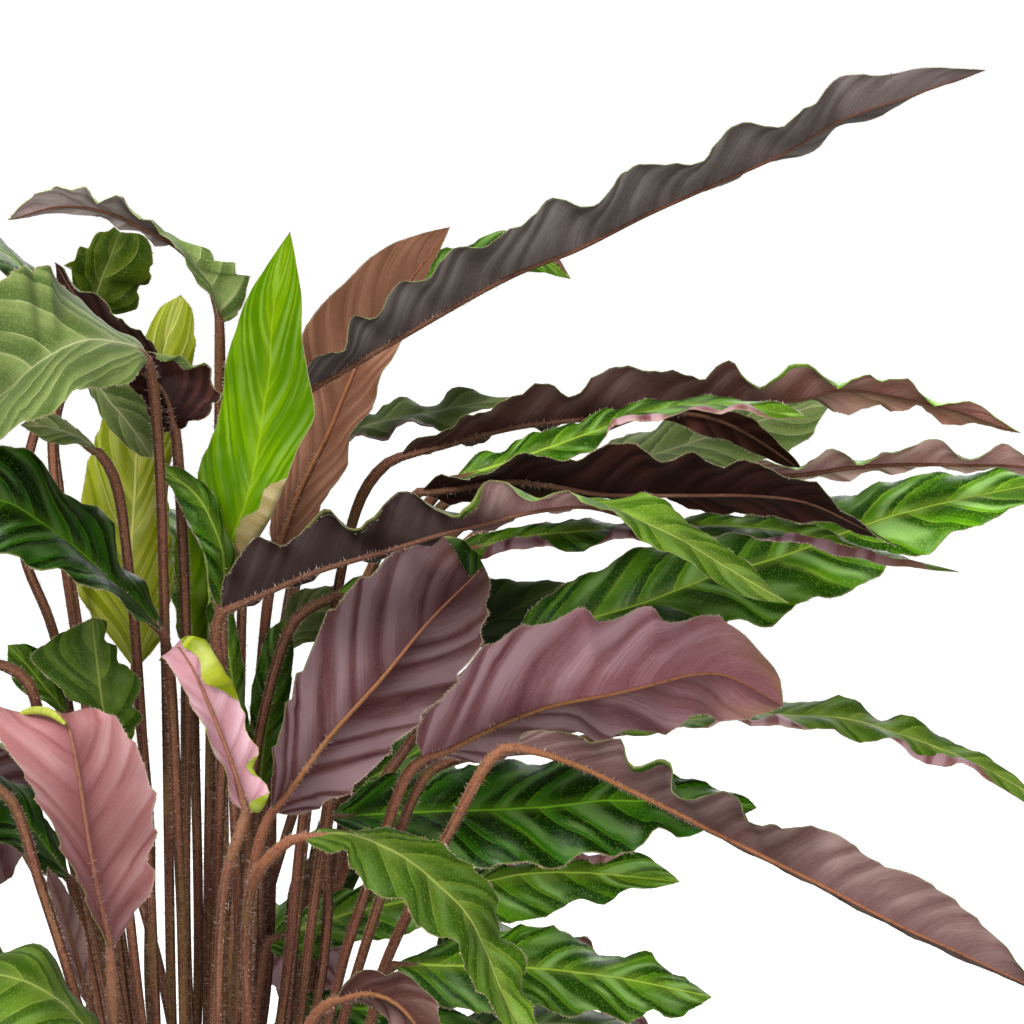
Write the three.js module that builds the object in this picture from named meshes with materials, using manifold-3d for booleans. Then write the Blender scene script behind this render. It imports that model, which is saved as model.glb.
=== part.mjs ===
// A potted velvet calathea: a clump of long-stalked, wave-edged leaves in a plain grow pot.
// Millimetres, +Z up. The origin is the middle of the pot's underside.
// Each leaf, its stalk and blade grown as one piece, is one mesh that stands on the crown.

import * as THREE from "three";
import { mergeVertices } from "three/addons/utils/BufferGeometryUtils.js";
import Module from "manifold-3d";

const wasm = await Module();
wasm.setup();

// Driving dimensions of the pot and what fills it
const POT_HEIGHT = 180;
const POT_TOP_RADIUS = 96;
const POT_BASE_RADIUS = 72;
const POT_WALL = 2.6;
const POT_FLOOR = 3.5;
const RIM_HEIGHT = 14;
const RIM_PROUD = 3.4;
const RIM_CHAMFER = 1;
const DRAIN_HOLES = 6;
const DRAIN_RADIUS = 6;
const DRAIN_CIRCLE = 48;
const CUT_REACH = 2 * POT_FLOOR;
const POT_SIDES = 32;
const CROWN_SIDES = 24;
const SMALL_ROUND_SIDES = 8;
const SOIL_LEVEL = 166;
const MOUND_HEIGHT = 7;
const MOUND_SHOULDER = {out: 16, height: 5};
const WELL_RADIUS = 46;
const WELL_DEPTH = 30;
const CROWN_HEIGHT = 14;
const CROWN_CHAMFER = 4;
const CROWN_TAPER = 1;
const FIT_GAP = 0.3;

// Driving dimensions of the leaves
const STALK_RADIUS = 2.4;
const STALK_SIDES = 5;
const STALK_STRAIGHT_TO = SOIL_LEVEL + 8;
const BLADE_THICKNESS = 0.8;
const LEAST_HALF_WIDTH = 1.6;
const STALK_INTO_BLADE = 0.4;
const WIDEST_LOW = 0.82;
const FULLNESS = 0.72;
const SPOT_SPACING = 9.4;
const SPOT_RINGS = 4;

// How the photograph was taken: 0.45 mm to a pixel at the clump's axis, from a little above
const MM_PER_PIXEL = 0.45;
const PHOTO_MIDDLE = 512;
const AXIS_PIXEL = 219;
const VIEW_HEIGHT = 524;
const VIEW_DISTANCE = 2200;
const VIEW_TILT = THREE.MathUtils.degToRad(5);
const EDGE_PIXEL = 1024;
const SOIL_PIXEL = 1300;

// Colours of the made and dead pieces, then of a leaf's face in view
const POT_COLOUR = 0x3c3a38;
const SOIL_COLOUR = 0x3a2a1e;
const CROWN_COLOUR = 0x5a4630;
const COLOURS = {
  "dark": 0x1f4a17,
  "grey": 0x6f8a58,
  "green": 0x3d7a28,
  "lime": 0x76a51a,
  "yellow": 0xa9b446,
  "olive": 0x6d7f35,
  "charcoal": 0x3a2d30,
  "copper": 0x7a4f38,
  "maroon": 0x401a16,
  "purple": 0x6e4a54,
  "mauve": 0x7d5f64,
  "pink": 0xb98488,
};
const ROUGHNESS = {pot: 0.55, soil: 0.95, crown: 0.9, leaf: 0.45};

// The leaves as the photograph shows them, each from its base to its tip.
// stalk: [pixel x, pixel y, depth in mm] from near the blade down to the foot of the stalk
// rib: the same for the middle rib. left and right: [pixel x, pixel y] along each margin,
// left and right as seen when looking from base to tip.
// seen: the colour of the face in view at the base. half: half the blade's true width in mm.
// lean: 1 when the left margin is nearer than the rib by all that its width allows, -1 when farther.
const LEAVES = [
  {"name": "leaf_01_arched_left", "seen": "grey", "half": 21, "lean": 0.8, "steps": 14,
   "stalk": [[219, 450, -4], [218, 620, 0], [214, 1024]],
   "rib": [[219, 318, -10], [211, 287, -14], [196, 266, -18], [176, 245, -22], [139, 225, -26],
           [106, 211, -28], [60, 206, -30], [8, 220, -32]],
   "left": [[212, 300], [203, 285], [190, 268], [172, 243], [152, 217], [134, 208], [117, 195],
            [102, 199], [86, 187], [72, 193], [58, 185], [21, 203]],
   "right": [[227, 321], [250, 296], [248, 275], [236, 261], [209, 249], [180, 245], [140, 233],
             [100, 219], [60, 213]]},
  {"name": "leaf_02_small_upright", "seen": "green", "half": 22, "lean": 0.5, "steps": 13,
   "stalk": [[60, 400, 36], [54, 440, 34], [59, 487, 33], [68, 560, 35], [80, 640, 34],
             [135, 1024]],
   "rib": [[85, 330, 36], [93, 304, 34], [104, 272, 30], [114, 248, 27], [120, 232, 24]],
   "left": [[78, 300], [72, 268], [63, 263], [74, 258], [81, 246], [89, 249], [98, 232],
            [110, 224]],
   "right": [[98, 305], [112, 312], [137, 310], [140, 298], [138, 286], [149, 285], [150, 268],
             [154, 262], [151, 243]]},
  {"name": "leaf_03_sliver", "seen": "maroon", "half": 16, "lean": -1, "steps": 7,
   "stalk": [[172, 400, -22], [184, 560, -18], [190, 1024]],
   "rib": [[165, 362, -22], [140, 350, -22], [110, 330, -24], [80, 300, -26], [55, 262, -28]],
   "left": [[150, 372], [120, 360], [90, 335], [62, 300]],
   "right": [[150, 345], [128, 322], [100, 300], [75, 285], [62, 268]]},
  {"name": "leaf_04_broad_left", "seen": "grey", "half": 46, "lean": 1, "steps": 16,
   "stalk": [[157, 425, -60], [165, 630, -42], [172, 1024]],
   "rib": [[148, 360, -68], [139, 349, -70], [114, 342, -74], [85, 341, -80], [41, 362, -88],
           [0, 397, -96], [-60, 432, -104], [-122, 472, -112]],
   "left": [[140, 370], [131, 383], [115, 384], [98, 389], [75, 392], [52, 411], [21, 425],
            [0, 437], [-30, 447], [-72, 466], [-102, 480]],
   "right": [[139, 344], [125, 336], [98, 320], [74, 292], [54, 273], [24, 266], [0, 279],
             [-30, 302], [-62, 340], [-95, 390], [-116, 440]]},
  {"name": "leaf_05_pleated_maroon", "seen": "maroon", "half": 22, "lean": -0.6, "steps": 11,
   "stalk": [[186, 640, -28], [186, 1024]],
   "rib": [[176, 430, -36], [170, 405, -38], [160, 385, -40], [140, 372, -42], [118, 362, -44]],
   "left": [[160, 432], [143, 425], [135, 400], [128, 380]],
   "right": [[200, 430], [222, 405], [215, 375], [196, 362], [181, 354], [150, 350]]},
  {"name": "leaf_06_new_yellow", "seen": "yellow", "half": 26, "lean": 0.4, "steps": 13,
   "stalk": [[150, 830, 18], [152, 1024]],
   "rib": [[135, 670, 24], [131, 564, 26], [135, 490, 26], [137, 451, 26], [158, 370, 26],
           [181, 295, 28]],
   "left": [[112, 640], [82, 600], [70, 560], [80, 500], [95, 440], [112, 395], [138, 350],
            [160, 308]],
   "right": [[160, 640], [172, 590], [173, 560], [168, 500], [174, 440], [190, 380], [195, 340],
             [192, 310]]},
  {"name": "leaf_07_hanging", "seen": "grey", "half": 15, "lean": 0.5, "steps": 7,
   "stalk": [[60, 372, -24], [30, 450, -22], [20, 520, -22], [26, 562, -22], [55, 638, -18],
             [110, 1024]],
   "rib": [[85, 360, -32], [105, 395, -36], [130, 425, -38], [152, 457, -40]],
   "left": [[100, 365], [128, 385], [150, 415], [155, 440]],
   "right": [[85, 385], [100, 410], [120, 440], [142, 456]]},
  {"name": "leaf_08_narrow", "seen": "green", "half": 13, "lean": 0.6, "steps": 9,
   "stalk": [[222, 750, -46], [216, 900, -36], [212, 1024]],
   "rib": [[222, 610, -54], [223, 556, -54], [212, 523, -54], [196, 495, -52], [157, 466, -50]],
   "left": [[214, 600], [206, 560], [190, 525], [172, 490]],
   "right": [[230, 600], [233, 556], [222, 515], [205, 485], [180, 468]]},
  {"name": "leaf_09_glossy_left", "seen": "dark", "half": 32, "lean": 1, "steps": 15,
   "stalk": [[180, 880, -48], [184, 1024]],
   "rib": [[163, 633, -72], [142, 610, -76], [114, 585, -82], [82, 554, -90], [41, 523, -100],
           [0, 500, -108], [-50, 502, -116], [-110, 532, -124]],
   "left": [[150, 625], [131, 610], [108, 595], [85, 584], [62, 572], [41, 569], [0, 554],
            [-50, 560], [-90, 560]],
   "right": [[160, 615], [153, 602], [138, 580], [121, 562], [109, 520], [101, 507], [78, 500],
             [54, 486], [33, 451], [0, 447], [-45, 464], [-88, 498]]},
  {"name": "leaf_10_small_left", "seen": "grey", "half": 11, "lean": 1, "steps": 7,
   "stalk": [[114, 477, -44], [129, 571, -36], [140, 700, -32], [156, 1024]],
   "rib": [[98, 452, -48], [78, 438, -52], [50, 428, -56], [21, 425, -60]],
   "left": [[80, 446], [60, 442], [44, 440], [30, 432]],
   "right": [[85, 434], [65, 420], [40, 415], [28, 420]]},
  {"name": "leaf_11_new_lime", "seen": "lime", "half": 27, "lean": -0.3, "steps": 15,
   "stalk": [[224, 850, -26], [222, 1024]],
   "rib": [[222, 566, -40], [247, 499, -42], [255, 466, -42], [265, 401, -42], [270, 370, -42],
           [273, 315, -42], [290, 232, -44]],
   "left": [[208, 530], [198, 495], [200, 464], [210, 442], [221, 409], [225, 369], [236, 328],
            [249, 295], [270, 261]],
   "right": [[245, 552], [270, 520], [284, 485], [300, 445], [315, 414], [308, 375], [302, 338],
             [302, 304], [295, 255]]},
  {"name": "leaf_12_copper", "seen": "copper", "half": 26, "lean": -0.5, "steps": 14,
   "stalk": [[268, 600, 30], [252, 780, 20], [240, 1024]],
   "rib": [[275, 560, 32], [301, 491, 34], [317, 458, 34], [331, 430, 34], [347, 389, 34],
           [375, 330, 34], [415, 275, 34], [450, 227, 34]],
   "left": [[270, 520], [282, 470], [290, 420], [298, 380], [302, 335], [327, 299], [347, 281],
            [363, 264], [388, 246], [420, 234]],
   "right": [[300, 540], [321, 507], [346, 464], [350, 440], [376, 398], [382, 372], [397, 350],
             [410, 328], [427, 277], [445, 238]]},
  {"name": "leaf_13_longest", "seen": "charcoal", "half": 29, "lean": 1, "steps": 19,
   "stalk": [[272, 450, -9], [246, 560, 1], [240, 700, 4], [234, 1024]],
   "rib": [[292, 402, -14], [312, 388, -16], [410, 330, -22], [512, 274, -28], [577, 248, -32],
           [643, 215, -36], [708, 186, -40], [789, 150, -44], [838, 121, -46], [904, 98, -50],
           [985, 70, -54]],
   "left": [[305, 372], [321, 354], [344, 346], [353, 318], [376, 315], [402, 281], [427, 277],
            [456, 250], [484, 244], [512, 232], [551, 201], [590, 204], [643, 163], [688, 166],
            [744, 123], [788, 124], [842, 77], [887, 75], [920, 68]],
   "right": [[318, 384], [410, 324], [512, 268], [600, 233], [680, 197], [737, 180], [747, 170],
             [816, 149], [838, 127], [881, 116], [914, 96], [960, 80]]},
  {"name": "leaf_14_behind_longest", "seen": "green", "half": 17, "lean": -0.8, "steps": 11,
   "stalk": [[330, 450, 66], [302, 560, 58], [272, 700, 44], [250, 1024]],
   "rib": [[352, 356, 70], [400, 306, 68], [450, 274, 66], [505, 250, 64], [545, 260, 62],
           [571, 279, 60]],
   "left": [[374, 318], [415, 280], [442, 252], [475, 243], [506, 231], [550, 252]],
   "right": [[380, 334], [440, 304], [500, 274], [540, 273]]},
  {"name": "leaf_15_grey_wavy", "seen": "grey", "half": 16, "lean": -1, "steps": 13,
   "stalk": [[310, 500, 76], [292, 580, 66], [275, 700, 52], [262, 1024]],
   "rib": [[328, 440, 80], [360, 428, 78], [400, 418, 74], [455, 408, 70], [510, 397, 66]],
   "left": [[335, 425], [364, 411], [378, 415], [393, 405], [409, 398], [424, 404], [438, 403],
            [449, 394], [464, 388], [482, 392], [495, 398]],
   "right": [[345, 444], [370, 436], [382, 437], [394, 434], [406, 427], [418, 425], [431, 424],
             [446, 427], [480, 412]]},
  {"name": "leaf_16_purple_wavy", "seen": "purple", "half": 25, "lean": 1, "steps": 19,
   "stalk": [[385, 465, -4], [360, 500, 0], [318, 720, 12], [286, 1024]],
   "rib": [[400, 457, -6], [440, 445, -8], [512, 426, -10], [610, 415, -12], [708, 405, -12],
           [806, 398, -12], [838, 389, -12], [936, 405, -12], [1021, 433, -12]],
   "left": [[407, 446], [417, 438], [433, 440], [446, 431], [465, 411], [485, 415], [497, 410],
            [513, 395], [536, 385], [559, 391], [571, 392], [602, 376], [633, 365], [660, 370],
            [688, 379], [724, 365], [760, 382], [806, 366], [845, 384], [887, 375], [927, 398],
            [966, 402]],
   "right": [[440, 449], [512, 430], [610, 419], [708, 409], [806, 402], [838, 408], [871, 411],
             [904, 406], [936, 418], [980, 426]]},
  {"name": "leaf_17_twisting", "seen": "green", "half": 15, "lean": -1, "steps": 14,
   "stalk": [[435, 495, -42], [370, 600, -30], [322, 720, -20], [286, 1024, -18]],
   "rib": [[453, 480, -46], [500, 465, -50], [550, 448, -52], [600, 430, -52], [650, 412, -52],
           [720, 405, -52], [809, 420, -52]],
   "left": [[470, 462], [484, 451], [502, 451], [530, 436], [561, 423], [582, 422], [610, 408],
            [639, 403], [677, 399], [742, 399], [785, 405]],
   "right": [[490, 482], [541, 468], [567, 463], [592, 448], [620, 427], [680, 414], [733, 411],
             [780, 418]]},
  {"name": "leaf_18_pale_broad", "seen": "grey", "half": 28, "lean": -1, "steps": 13,
   "stalk": [[530, 485, 62], [480, 512, 60], [420, 570, 58], [350, 700, 54], [296, 1024]],
   "rib": [[560, 475, 66], [610, 467, 68], [665, 452, 72], [740, 427, 74], [832, 402, 76]],
   "left": [[600, 450], [645, 430], [690, 410], [740, 402], [790, 398]],
   "right": [[600, 485], [660, 480], [710, 470], [760, 463], [793, 447], [810, 438], [820, 420]]},
  {"name": "leaf_19_dark_small", "seen": "maroon", "half": 9, "lean": 1, "steps": 9,
   "stalk": [[500, 466, 30], [440, 508, 32], [372, 612, 34], [352, 750, 46], [338, 850, 38],
             [302, 1024]],
   "rib": [[634, 416, 24], [664, 411, 23], [695, 413, 22], [730, 424, 20], [768, 446, 18],
           [805, 473, 16]],
   "left": [[655, 408], [680, 404], [705, 405], [735, 412], [768, 432], [790, 454]],
   "right": [[655, 420], [680, 424], [705, 436], [730, 442], [765, 458], [790, 468]]},
  {"name": "leaf_20_far_right", "seen": "mauve", "half": 16, "lean": 1, "steps": 14,
   "stalk": [[650, 475, 10], [560, 490, 10], [480, 532, 10], [400, 620, 12], [330, 800, 14],
             [296, 1024]],
   "rib": [[715, 474, 8], [799, 473, 4], [850, 466, 0], [904, 463, -4], [966, 464, -8],
           [1024, 466, -10], [1100, 480, -14]],
   "left": [[770, 462], [799, 466], [835, 451], [865, 462], [900, 449], [933, 441], [966, 457],
            [1002, 447], [1040, 460], [1070, 468]],
   "right": [[770, 478], [830, 480], [904, 470], [1024, 472], [1070, 480]]},
  {"name": "leaf_21_maroon", "seen": "maroon", "half": 26, "lean": 1, "steps": 16,
   "stalk": [[405, 506, -62], [350, 620, -46], [312, 760, -36], [280, 1024]],
   "rib": [[420, 492, -66], [440, 490, -68], [502, 480, -70], [550, 484, -72], [603, 493, -72],
           [696, 494, -72], [758, 495, -72], [807, 502, -72], [856, 524, -72], [898, 547, -72]],
   "left": [[440, 476], [453, 480], [478, 472], [502, 469], [523, 448], [541, 459], [567, 461],
            [603, 446], [633, 445], [651, 454], [670, 461], [693, 453], [722, 466], [751, 463],
            [807, 482], [828, 495], [853, 518], [880, 538]],
   "right": [[450, 502], [500, 506], [560, 506], [620, 500], [660, 498], [700, 508], [722, 518],
             [751, 511], [782, 521], [812, 520], [845, 530], [877, 537]]},
  {"name": "leaf_22_front_twisted", "seen": "mauve", "half": 23, "lean": 1, "steps": 19,
   "stalk": [[216, 628, -100], [228, 720, -88], [236, 850, -66], [238, 1024]],
   "rib": [[222, 612, -102], [265, 592, -106], [314, 571, -110], [363, 556, -112],
           [404, 544, -114], [441, 533, -114], [489, 521, -114], [538, 510, -114],
           [587, 506, -114], [630, 518, -116], [680, 540, -118], [730, 570, -120],
           [788, 603, -122]],
   "left": [[222, 585], [240, 556], [257, 538], [286, 544], [306, 525], [326, 508], [347, 525],
            [368, 523], [396, 494], [409, 490], [428, 507], [458, 510], [489, 484], [509, 485],
            [522, 495], [560, 496], [590, 500], [622, 524], [660, 546], [705, 575], [750, 598]],
   "right": [[245, 606], [300, 581], [363, 561], [441, 538], [538, 514], [587, 503], [611, 497],
             [659, 499], [684, 513], [701, 534], [735, 552], [758, 575], [775, 592]]},
  {"name": "leaf_23_narrow_lobed", "seen": "green", "half": 12, "lean": -1, "steps": 15,
   "stalk": [[400, 602, -36], [342, 720, -34], [326, 820, -34], [299, 1024]],
   "rib": [[453, 552, -40], [500, 542, -40], [560, 533, -40], [640, 530, -40], [720, 526, -40],
           [800, 535, -40], [880, 555, -40], [959, 572, -40]],
   "left": [[465, 540], [479, 534], [520, 528], [561, 520], [620, 522], [690, 516], [758, 516],
            [810, 525], [860, 545], [920, 562]],
   "right": [[468, 561], [505, 552], [541, 546], [567, 552], [600, 544], [636, 540], [700, 536],
             [748, 536], [800, 545], [860, 560], [920, 569]]},
  {"name": "leaf_24_bright_broad", "seen": "green", "half": 34, "lean": -1, "steps": 16,
   "stalk": [[480, 664, 22], [440, 702, 14], [400, 757, 4], [382, 782, 2], [334, 900, 12],
             [312, 1024]],
   "rib": [[505, 650, 28], [560, 628, 30], [640, 605, 30], [684, 588, 30], [717, 575, 28],
           [758, 564, 26], [799, 551, 24], [869, 524, 20], [916, 510, 18], [1024, 487, 12],
           [1090, 478, 8]],
   "left": [[528, 615], [553, 591], [587, 575], [624, 555], [662, 545], [700, 535], [765, 512],
            [831, 497], [853, 493], [893, 480], [959, 473], [1024, 472], [1060, 474]],
   "right": [[540, 655], [600, 648], [660, 630], [700, 632], [732, 621], [766, 626], [781, 620],
             [813, 595], [836, 598], [877, 575], [892, 560], [933, 551], [956, 532], [1002, 515],
             [1050, 495]]},
  {"name": "leaf_25_olive_behind", "seen": "olive", "half": 20, "lean": -1, "steps": 8,
   "stalk": [[420, 680, 84], [362, 780, 80], [304, 1024]],
   "rib": [[440, 655, 86], [487, 625, 86], [522, 606, 86], [566, 583, 86]],
   "left": [[455, 610], [479, 583], [520, 580], [545, 580]],
   "right": [[480, 645], [510, 640], [540, 622], [560, 600]]},
  {"name": "leaf_26_purple_broad", "seen": "purple", "half": 34, "lean": 0.5, "steps": 15,
   "stalk": [[262, 835, -80], [252, 880, -74], [247, 960, -60], [246, 1024]],
   "rib": [[272, 812, -82], [300, 775, -84], [330, 735, -84], [380, 680, -84], [430, 620, -84],
           [484, 566, -84]],
   "left": [[272, 790], [276, 765], [274, 742], [283, 720], [300, 670], [315, 640], [345, 590],
            [372, 572], [400, 548], [440, 535], [470, 545]],
   "right": [[300, 815], [335, 798], [375, 770], [395, 745], [420, 720], [438, 700], [451, 684],
             [470, 664], [481, 645], [484, 620], [491, 594], [489, 578]]},
  {"name": "leaf_27_purple_right", "seen": "purple", "half": 40, "lean": 1, "steps": 16,
   "stalk": [[410, 770, -52], [396, 800, -54], [380, 850, -54], [347, 948, -46], [327, 1024]],
   "rib": [[425, 758, -50], [440, 753, -50], [473, 736, -48], [508, 720, -46], [554, 704, -44],
           [603, 695, -42], [652, 684, -40], [693, 674, -38], [725, 675, -38], [783, 706, -38]],
   "left": [[416, 740], [420, 722], [440, 699], [462, 672], [481, 650], [505, 636], [530, 624],
            [553, 619], [582, 608], [597, 620], [622, 613], [649, 605], [665, 620], [702, 615],
            [728, 622], [764, 656], [776, 671], [782, 690]],
   "right": [[440, 759], [481, 762], [530, 750], [580, 733], [603, 741], [622, 733], [655, 731],
             [671, 730], [707, 713], [727, 722], [768, 712]]},
  {"name": "leaf_28_mauve_drooping", "seen": "mauve", "half": 25, "lean": 1, "steps": 19,
   "stalk": [[502, 749, -100], [489, 761, -100], [458, 816, -96], [383, 970, -72], [370, 1024]],
   "rib": [[518, 748, -102], [546, 753, -104], [579, 764, -106], [626, 786, -110],
           [685, 815, -114], [708, 827, -116], [806, 876, -120], [904, 927, -126],
           [946, 946, -128], [1024, 982, -132], [1080, 1005, -136]],
   "left": [[522, 734], [550, 731], [574, 734], [598, 741], [620, 742], [633, 763], [669, 763],
            [675, 790], [688, 799], [710, 797], [737, 796], [752, 825], [775, 827], [796, 825],
            [838, 834], [858, 848], [878, 863], [920, 878], [960, 905], [992, 933], [1024, 969],
            [1060, 992]],
   "right": [[550, 757], [626, 791], [708, 833], [806, 882], [904, 933], [1010, 980]]},
  {"name": "leaf_29_far_narrow", "seen": "green", "half": 14, "lean": -1, "steps": 15,
   "stalk": [[560, 746, 4], [500, 752, -6], [455, 760, -18], [427, 775, -30], [402, 825, -46],
             [380, 899, -56], [357, 972, -52], [342, 1024]],
   "rib": [[610, 733, 10], [680, 722, 14], [745, 715, 16], [790, 716, 16], [850, 720, 14],
           [900, 735, 12], [960, 757, 10], [1024, 790, 6], [1060, 812, 4]],
   "left": [[640, 720], [700, 708], [760, 702], [790, 705], [824, 698], [844, 696], [875, 717],
            [915, 718], [940, 735], [961, 749], [983, 753], [1024, 785]],
   "right": [[640, 735], [700, 726], [745, 722], [790, 730], [829, 726], [851, 743], [883, 738],
             [905, 750], [927, 762], [944, 768], [964, 765], [1013, 796], [1045, 812]]},
  {"name": "leaf_30_dark_right", "seen": "dark", "half": 34, "lean": -1, "steps": 15,
   "stalk": [[326, 850, -20], [328, 900, -23], [324, 960, -24], [314, 1024]],
   "rib": [[330, 818, -18], [375, 815, -18], [440, 812, -18], [495, 810, -20], [550, 807, -20],
           [605, 801, -20], [651, 802, -20], [757, 808, -20]],
   "left": [[350, 795], [385, 778], [430, 768], [489, 763], [540, 761], [600, 763], [650, 772],
            [690, 781], [730, 790], [748, 799]],
   "right": [[360, 836], [400, 848], [430, 850], [458, 858], [482, 871], [521, 860], [546, 870],
             [583, 854], [611, 856], [638, 847], [657, 830], [679, 837], [725, 822]]},
  {"name": "leaf_31_behind_purple", "seen": "green", "half": 20, "lean": -1, "steps": 8,
   "stalk": [[322, 828, 22], [308, 900, 18], [290, 1024]],
   "rib": [[349, 790, 26], [391, 768, 30], [430, 745, 34], [490, 715, 36]],
   "left": [[350, 770], [382, 745], [425, 720], [465, 708]],
   "right": [[372, 795], [410, 775], [450, 752], [478, 730]]},
  {"name": "leaf_32_long_low", "seen": "green", "half": 25, "lean": -0.5, "steps": 15,
   "stalk": [[262, 962, -4], [256, 1024]],
   "rib": [[268, 940, -4], [298, 930, -4], [355, 912, -4], [402, 902, -5], [469, 886, -8],
           [523, 874, -10], [587, 873, -12], [680, 882, -14]],
   "left": [[282, 926], [301, 912], [320, 898], [338, 889], [362, 888], [400, 880], [450, 868],
            [490, 866], [530, 858], [581, 854], [610, 856], [636, 852], [655, 862], [673, 875]],
   "right": [[275, 955], [304, 959], [321, 958], [335, 946], [380, 940], [420, 930], [480, 922],
             [520, 922], [550, 915], [580, 898], [603, 905], [627, 889], [655, 888]]},
  {"name": "leaf_33_bottom_right", "seen": "green", "half": 27, "lean": -1, "steps": 15,
   "stalk": [[384, 974, -37], [374, 1010, -40], [364, 1060]],
   "rib": [[395, 965, -34], [420, 965, -36], [456, 966, -38], [523, 968, -40], [569, 972, -40],
           [624, 979, -42], [679, 990, -44], [712, 997, -46]],
   "left": [[420, 950], [445, 944], [470, 938], [502, 931], [530, 926], [558, 927], [576, 942],
            [600, 952], [624, 955], [644, 955], [679, 975]],
   "right": [[406, 985], [424, 997], [445, 1008], [500, 1012], [540, 1008], [572, 1016],
             [605, 1012], [633, 1021], [655, 1011], [668, 1019], [693, 1009]]},
  {"name": "leaf_34_front_olive", "seen": "olive", "half": 26, "lean": -0.7, "steps": 16,
   "stalk": [[291, 840, -128], [273, 854, -124], [257, 874, -118], [249, 899, -108],
             [246, 960, -88], [248, 1024]],
   "rib": [[304, 837, -130], [345, 834, -134], [400, 855, -138], [440, 887, -142],
           [467, 915, -144], [486, 953, -146], [504, 998, -148], [520, 1030, -150],
           [530, 1062, -150]],
   "left": [[324, 826], [348, 832], [371, 831], [390, 828], [407, 832], [432, 842], [456, 854],
            [478, 872], [495, 895], [502, 933], [519, 950], [524, 990], [533, 1012], [537, 1042]],
   "right": [[314, 848], [330, 852], [347, 848], [350, 866], [375, 894], [403, 899], [406, 912],
             [420, 926], [437, 936], [456, 944], [466, 960], [473, 985], [490, 1006], [504, 1023],
             [520, 1050]]},
  {"name": "leaf_35_pale_inner", "seen": "olive", "half": 12, "lean": 0.2, "steps": 8,
   "stalk": [[294, 975, 46], [284, 1024]],
   "rib": [[300, 940, 48], [322, 900, 50], [342, 862, 52], [362, 835, 54]],
   "left": [[286, 915], [292, 880], [318, 850]],
   "right": [[330, 922], [352, 892], [364, 860]]},
  {"name": "leaf_36_purple_low", "seen": "purple", "half": 18, "lean": 0.8, "steps": 9,
   "stalk": [[320, 1010, -96], [300, 1045, -86], [284, 1100]],
   "rib": [[336, 1000, -102], [363, 992, -108], [388, 997, -114], [410, 1015, -120],
           [430, 1050, -126], [440, 1090, -132]],
   "left": [[345, 984], [362, 972], [385, 975], [401, 968], [422, 988], [442, 1020], [449, 1060]],
   "right": [[355, 1005], [385, 1013], [402, 1040], [420, 1076]]},
  {"name": "leaf_37_dark_low", "seen": "dark", "half": 20, "lean": -0.4, "steps": 8,
   "stalk": [[277, 1030, -8], [268, 1090]],
   "rib": [[292, 1008, -8], [340, 1008, -8], [396, 1013, -8], [460, 1030, -8], [520, 1060, -10]],
   "left": [[312, 992], [350, 988], [400, 995], [460, 1012], [500, 1040]],
   "right": [[320, 1024], [370, 1034], [430, 1056], [480, 1068]]},
  {"name": "leaf_38_low_right", "seen": "green", "half": 24, "lean": -1, "steps": 8,
   "stalk": [[380, 1080, 22], [332, 1150]],
   "rib": [[402, 1058, 24], [460, 1035, 24], [540, 1024, 22], [620, 1032, 20], [705, 1062, 16]],
   "left": [[430, 1030], [480, 1010], [540, 1002], [600, 1010], [660, 1036]],
   "right": [[430, 1065], [500, 1055], [580, 1050], [650, 1064]]},
  {"name": "leaf_39_pink_front", "seen": "pink", "half": 36, "lean": 0.4, "steps": 16,
   "stalk": [[114, 1024, -86], [126, 1120]],
   "rib": [[110, 952, -98], [98, 899, -106], [86, 828, -114], [77, 768, -118], [66, 722, -117],
           [52, 712, -106], [40, 730, -96], [30, 776, -92]],
   "left": [[100, 930], [82, 890], [65, 854], [36, 796], [14, 760], [-4, 730], [-6, 706],
            [4, 712], [16, 750]],
   "right": [[129, 921], [143, 905], [152, 892], [153, 874], [149, 857], [157, 838], [152, 811],
             [155, 800], [145, 767], [133, 742], [112, 716], [86, 710], [64, 722], [46, 768]]},
  {"name": "leaf_40_pink_narrow", "seen": "pink", "half": 18, "lean": 0.4, "steps": 14,
   "stalk": [[238, 838, -104], [226, 880, -96], [220, 950, -82], [218, 1024]],
   "rib": [[246, 812, -106], [236, 780, -110], [222, 740, -112], [206, 700, -112],
           [190, 664, -108], [176, 646, -98], [168, 656, -86]],
   "left": [[232, 800], [226, 775], [210, 742], [192, 704], [174, 674], [161, 655], [158, 660]],
   "right": [[260, 812], [268, 788], [254, 770], [258, 750], [246, 732], [244, 712], [234, 688],
             [217, 658], [200, 637], [182, 640]]},
  {"name": "leaf_41_dark_jagged", "seen": "dark", "half": 26, "lean": 0.3, "steps": 13,
   "stalk": [[118, 800, -58], [128, 900, -50], [142, 1024]],
   "rib": [[112, 748, -60], [104, 713, -62], [98, 671, -64], [92, 618, -64]],
   "left": [[85, 738], [62, 715], [45, 705], [29, 670], [50, 645], [62, 632]],
   "right": [[135, 738], [145, 705], [134, 690], [141, 668], [122, 650], [108, 622]]},
  {"name": "leaf_42_off_left", "seen": "green", "half": 26, "lean": 1, "steps": 9,
   "stalk": [[16, 671, -74], [29, 684, -73], [37, 707, -70], [50, 780, -54], [70, 850, -34],
             [110, 1024]],
   "rib": [[-10, 662, -76], [-60, 655, -82], [-120, 680, -88], [-175, 750, -94]],
   "left": [[-30, 680], [-75, 690], [-125, 720], [-160, 752]],
   "right": [[-30, 640], [-80, 628], [-135, 650], [-172, 710]]},
  {"name": "leaf_43_green_left", "seen": "green", "half": 15, "lean": 0.6, "steps": 8,
   "stalk": [[95, 880, -30], [124, 1024]],
   "rib": [[68, 718, -36], [45, 688, -38], [26, 664, -40], [8, 645, -42]],
   "left": [[48, 705], [22, 690], [8, 668]],
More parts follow.
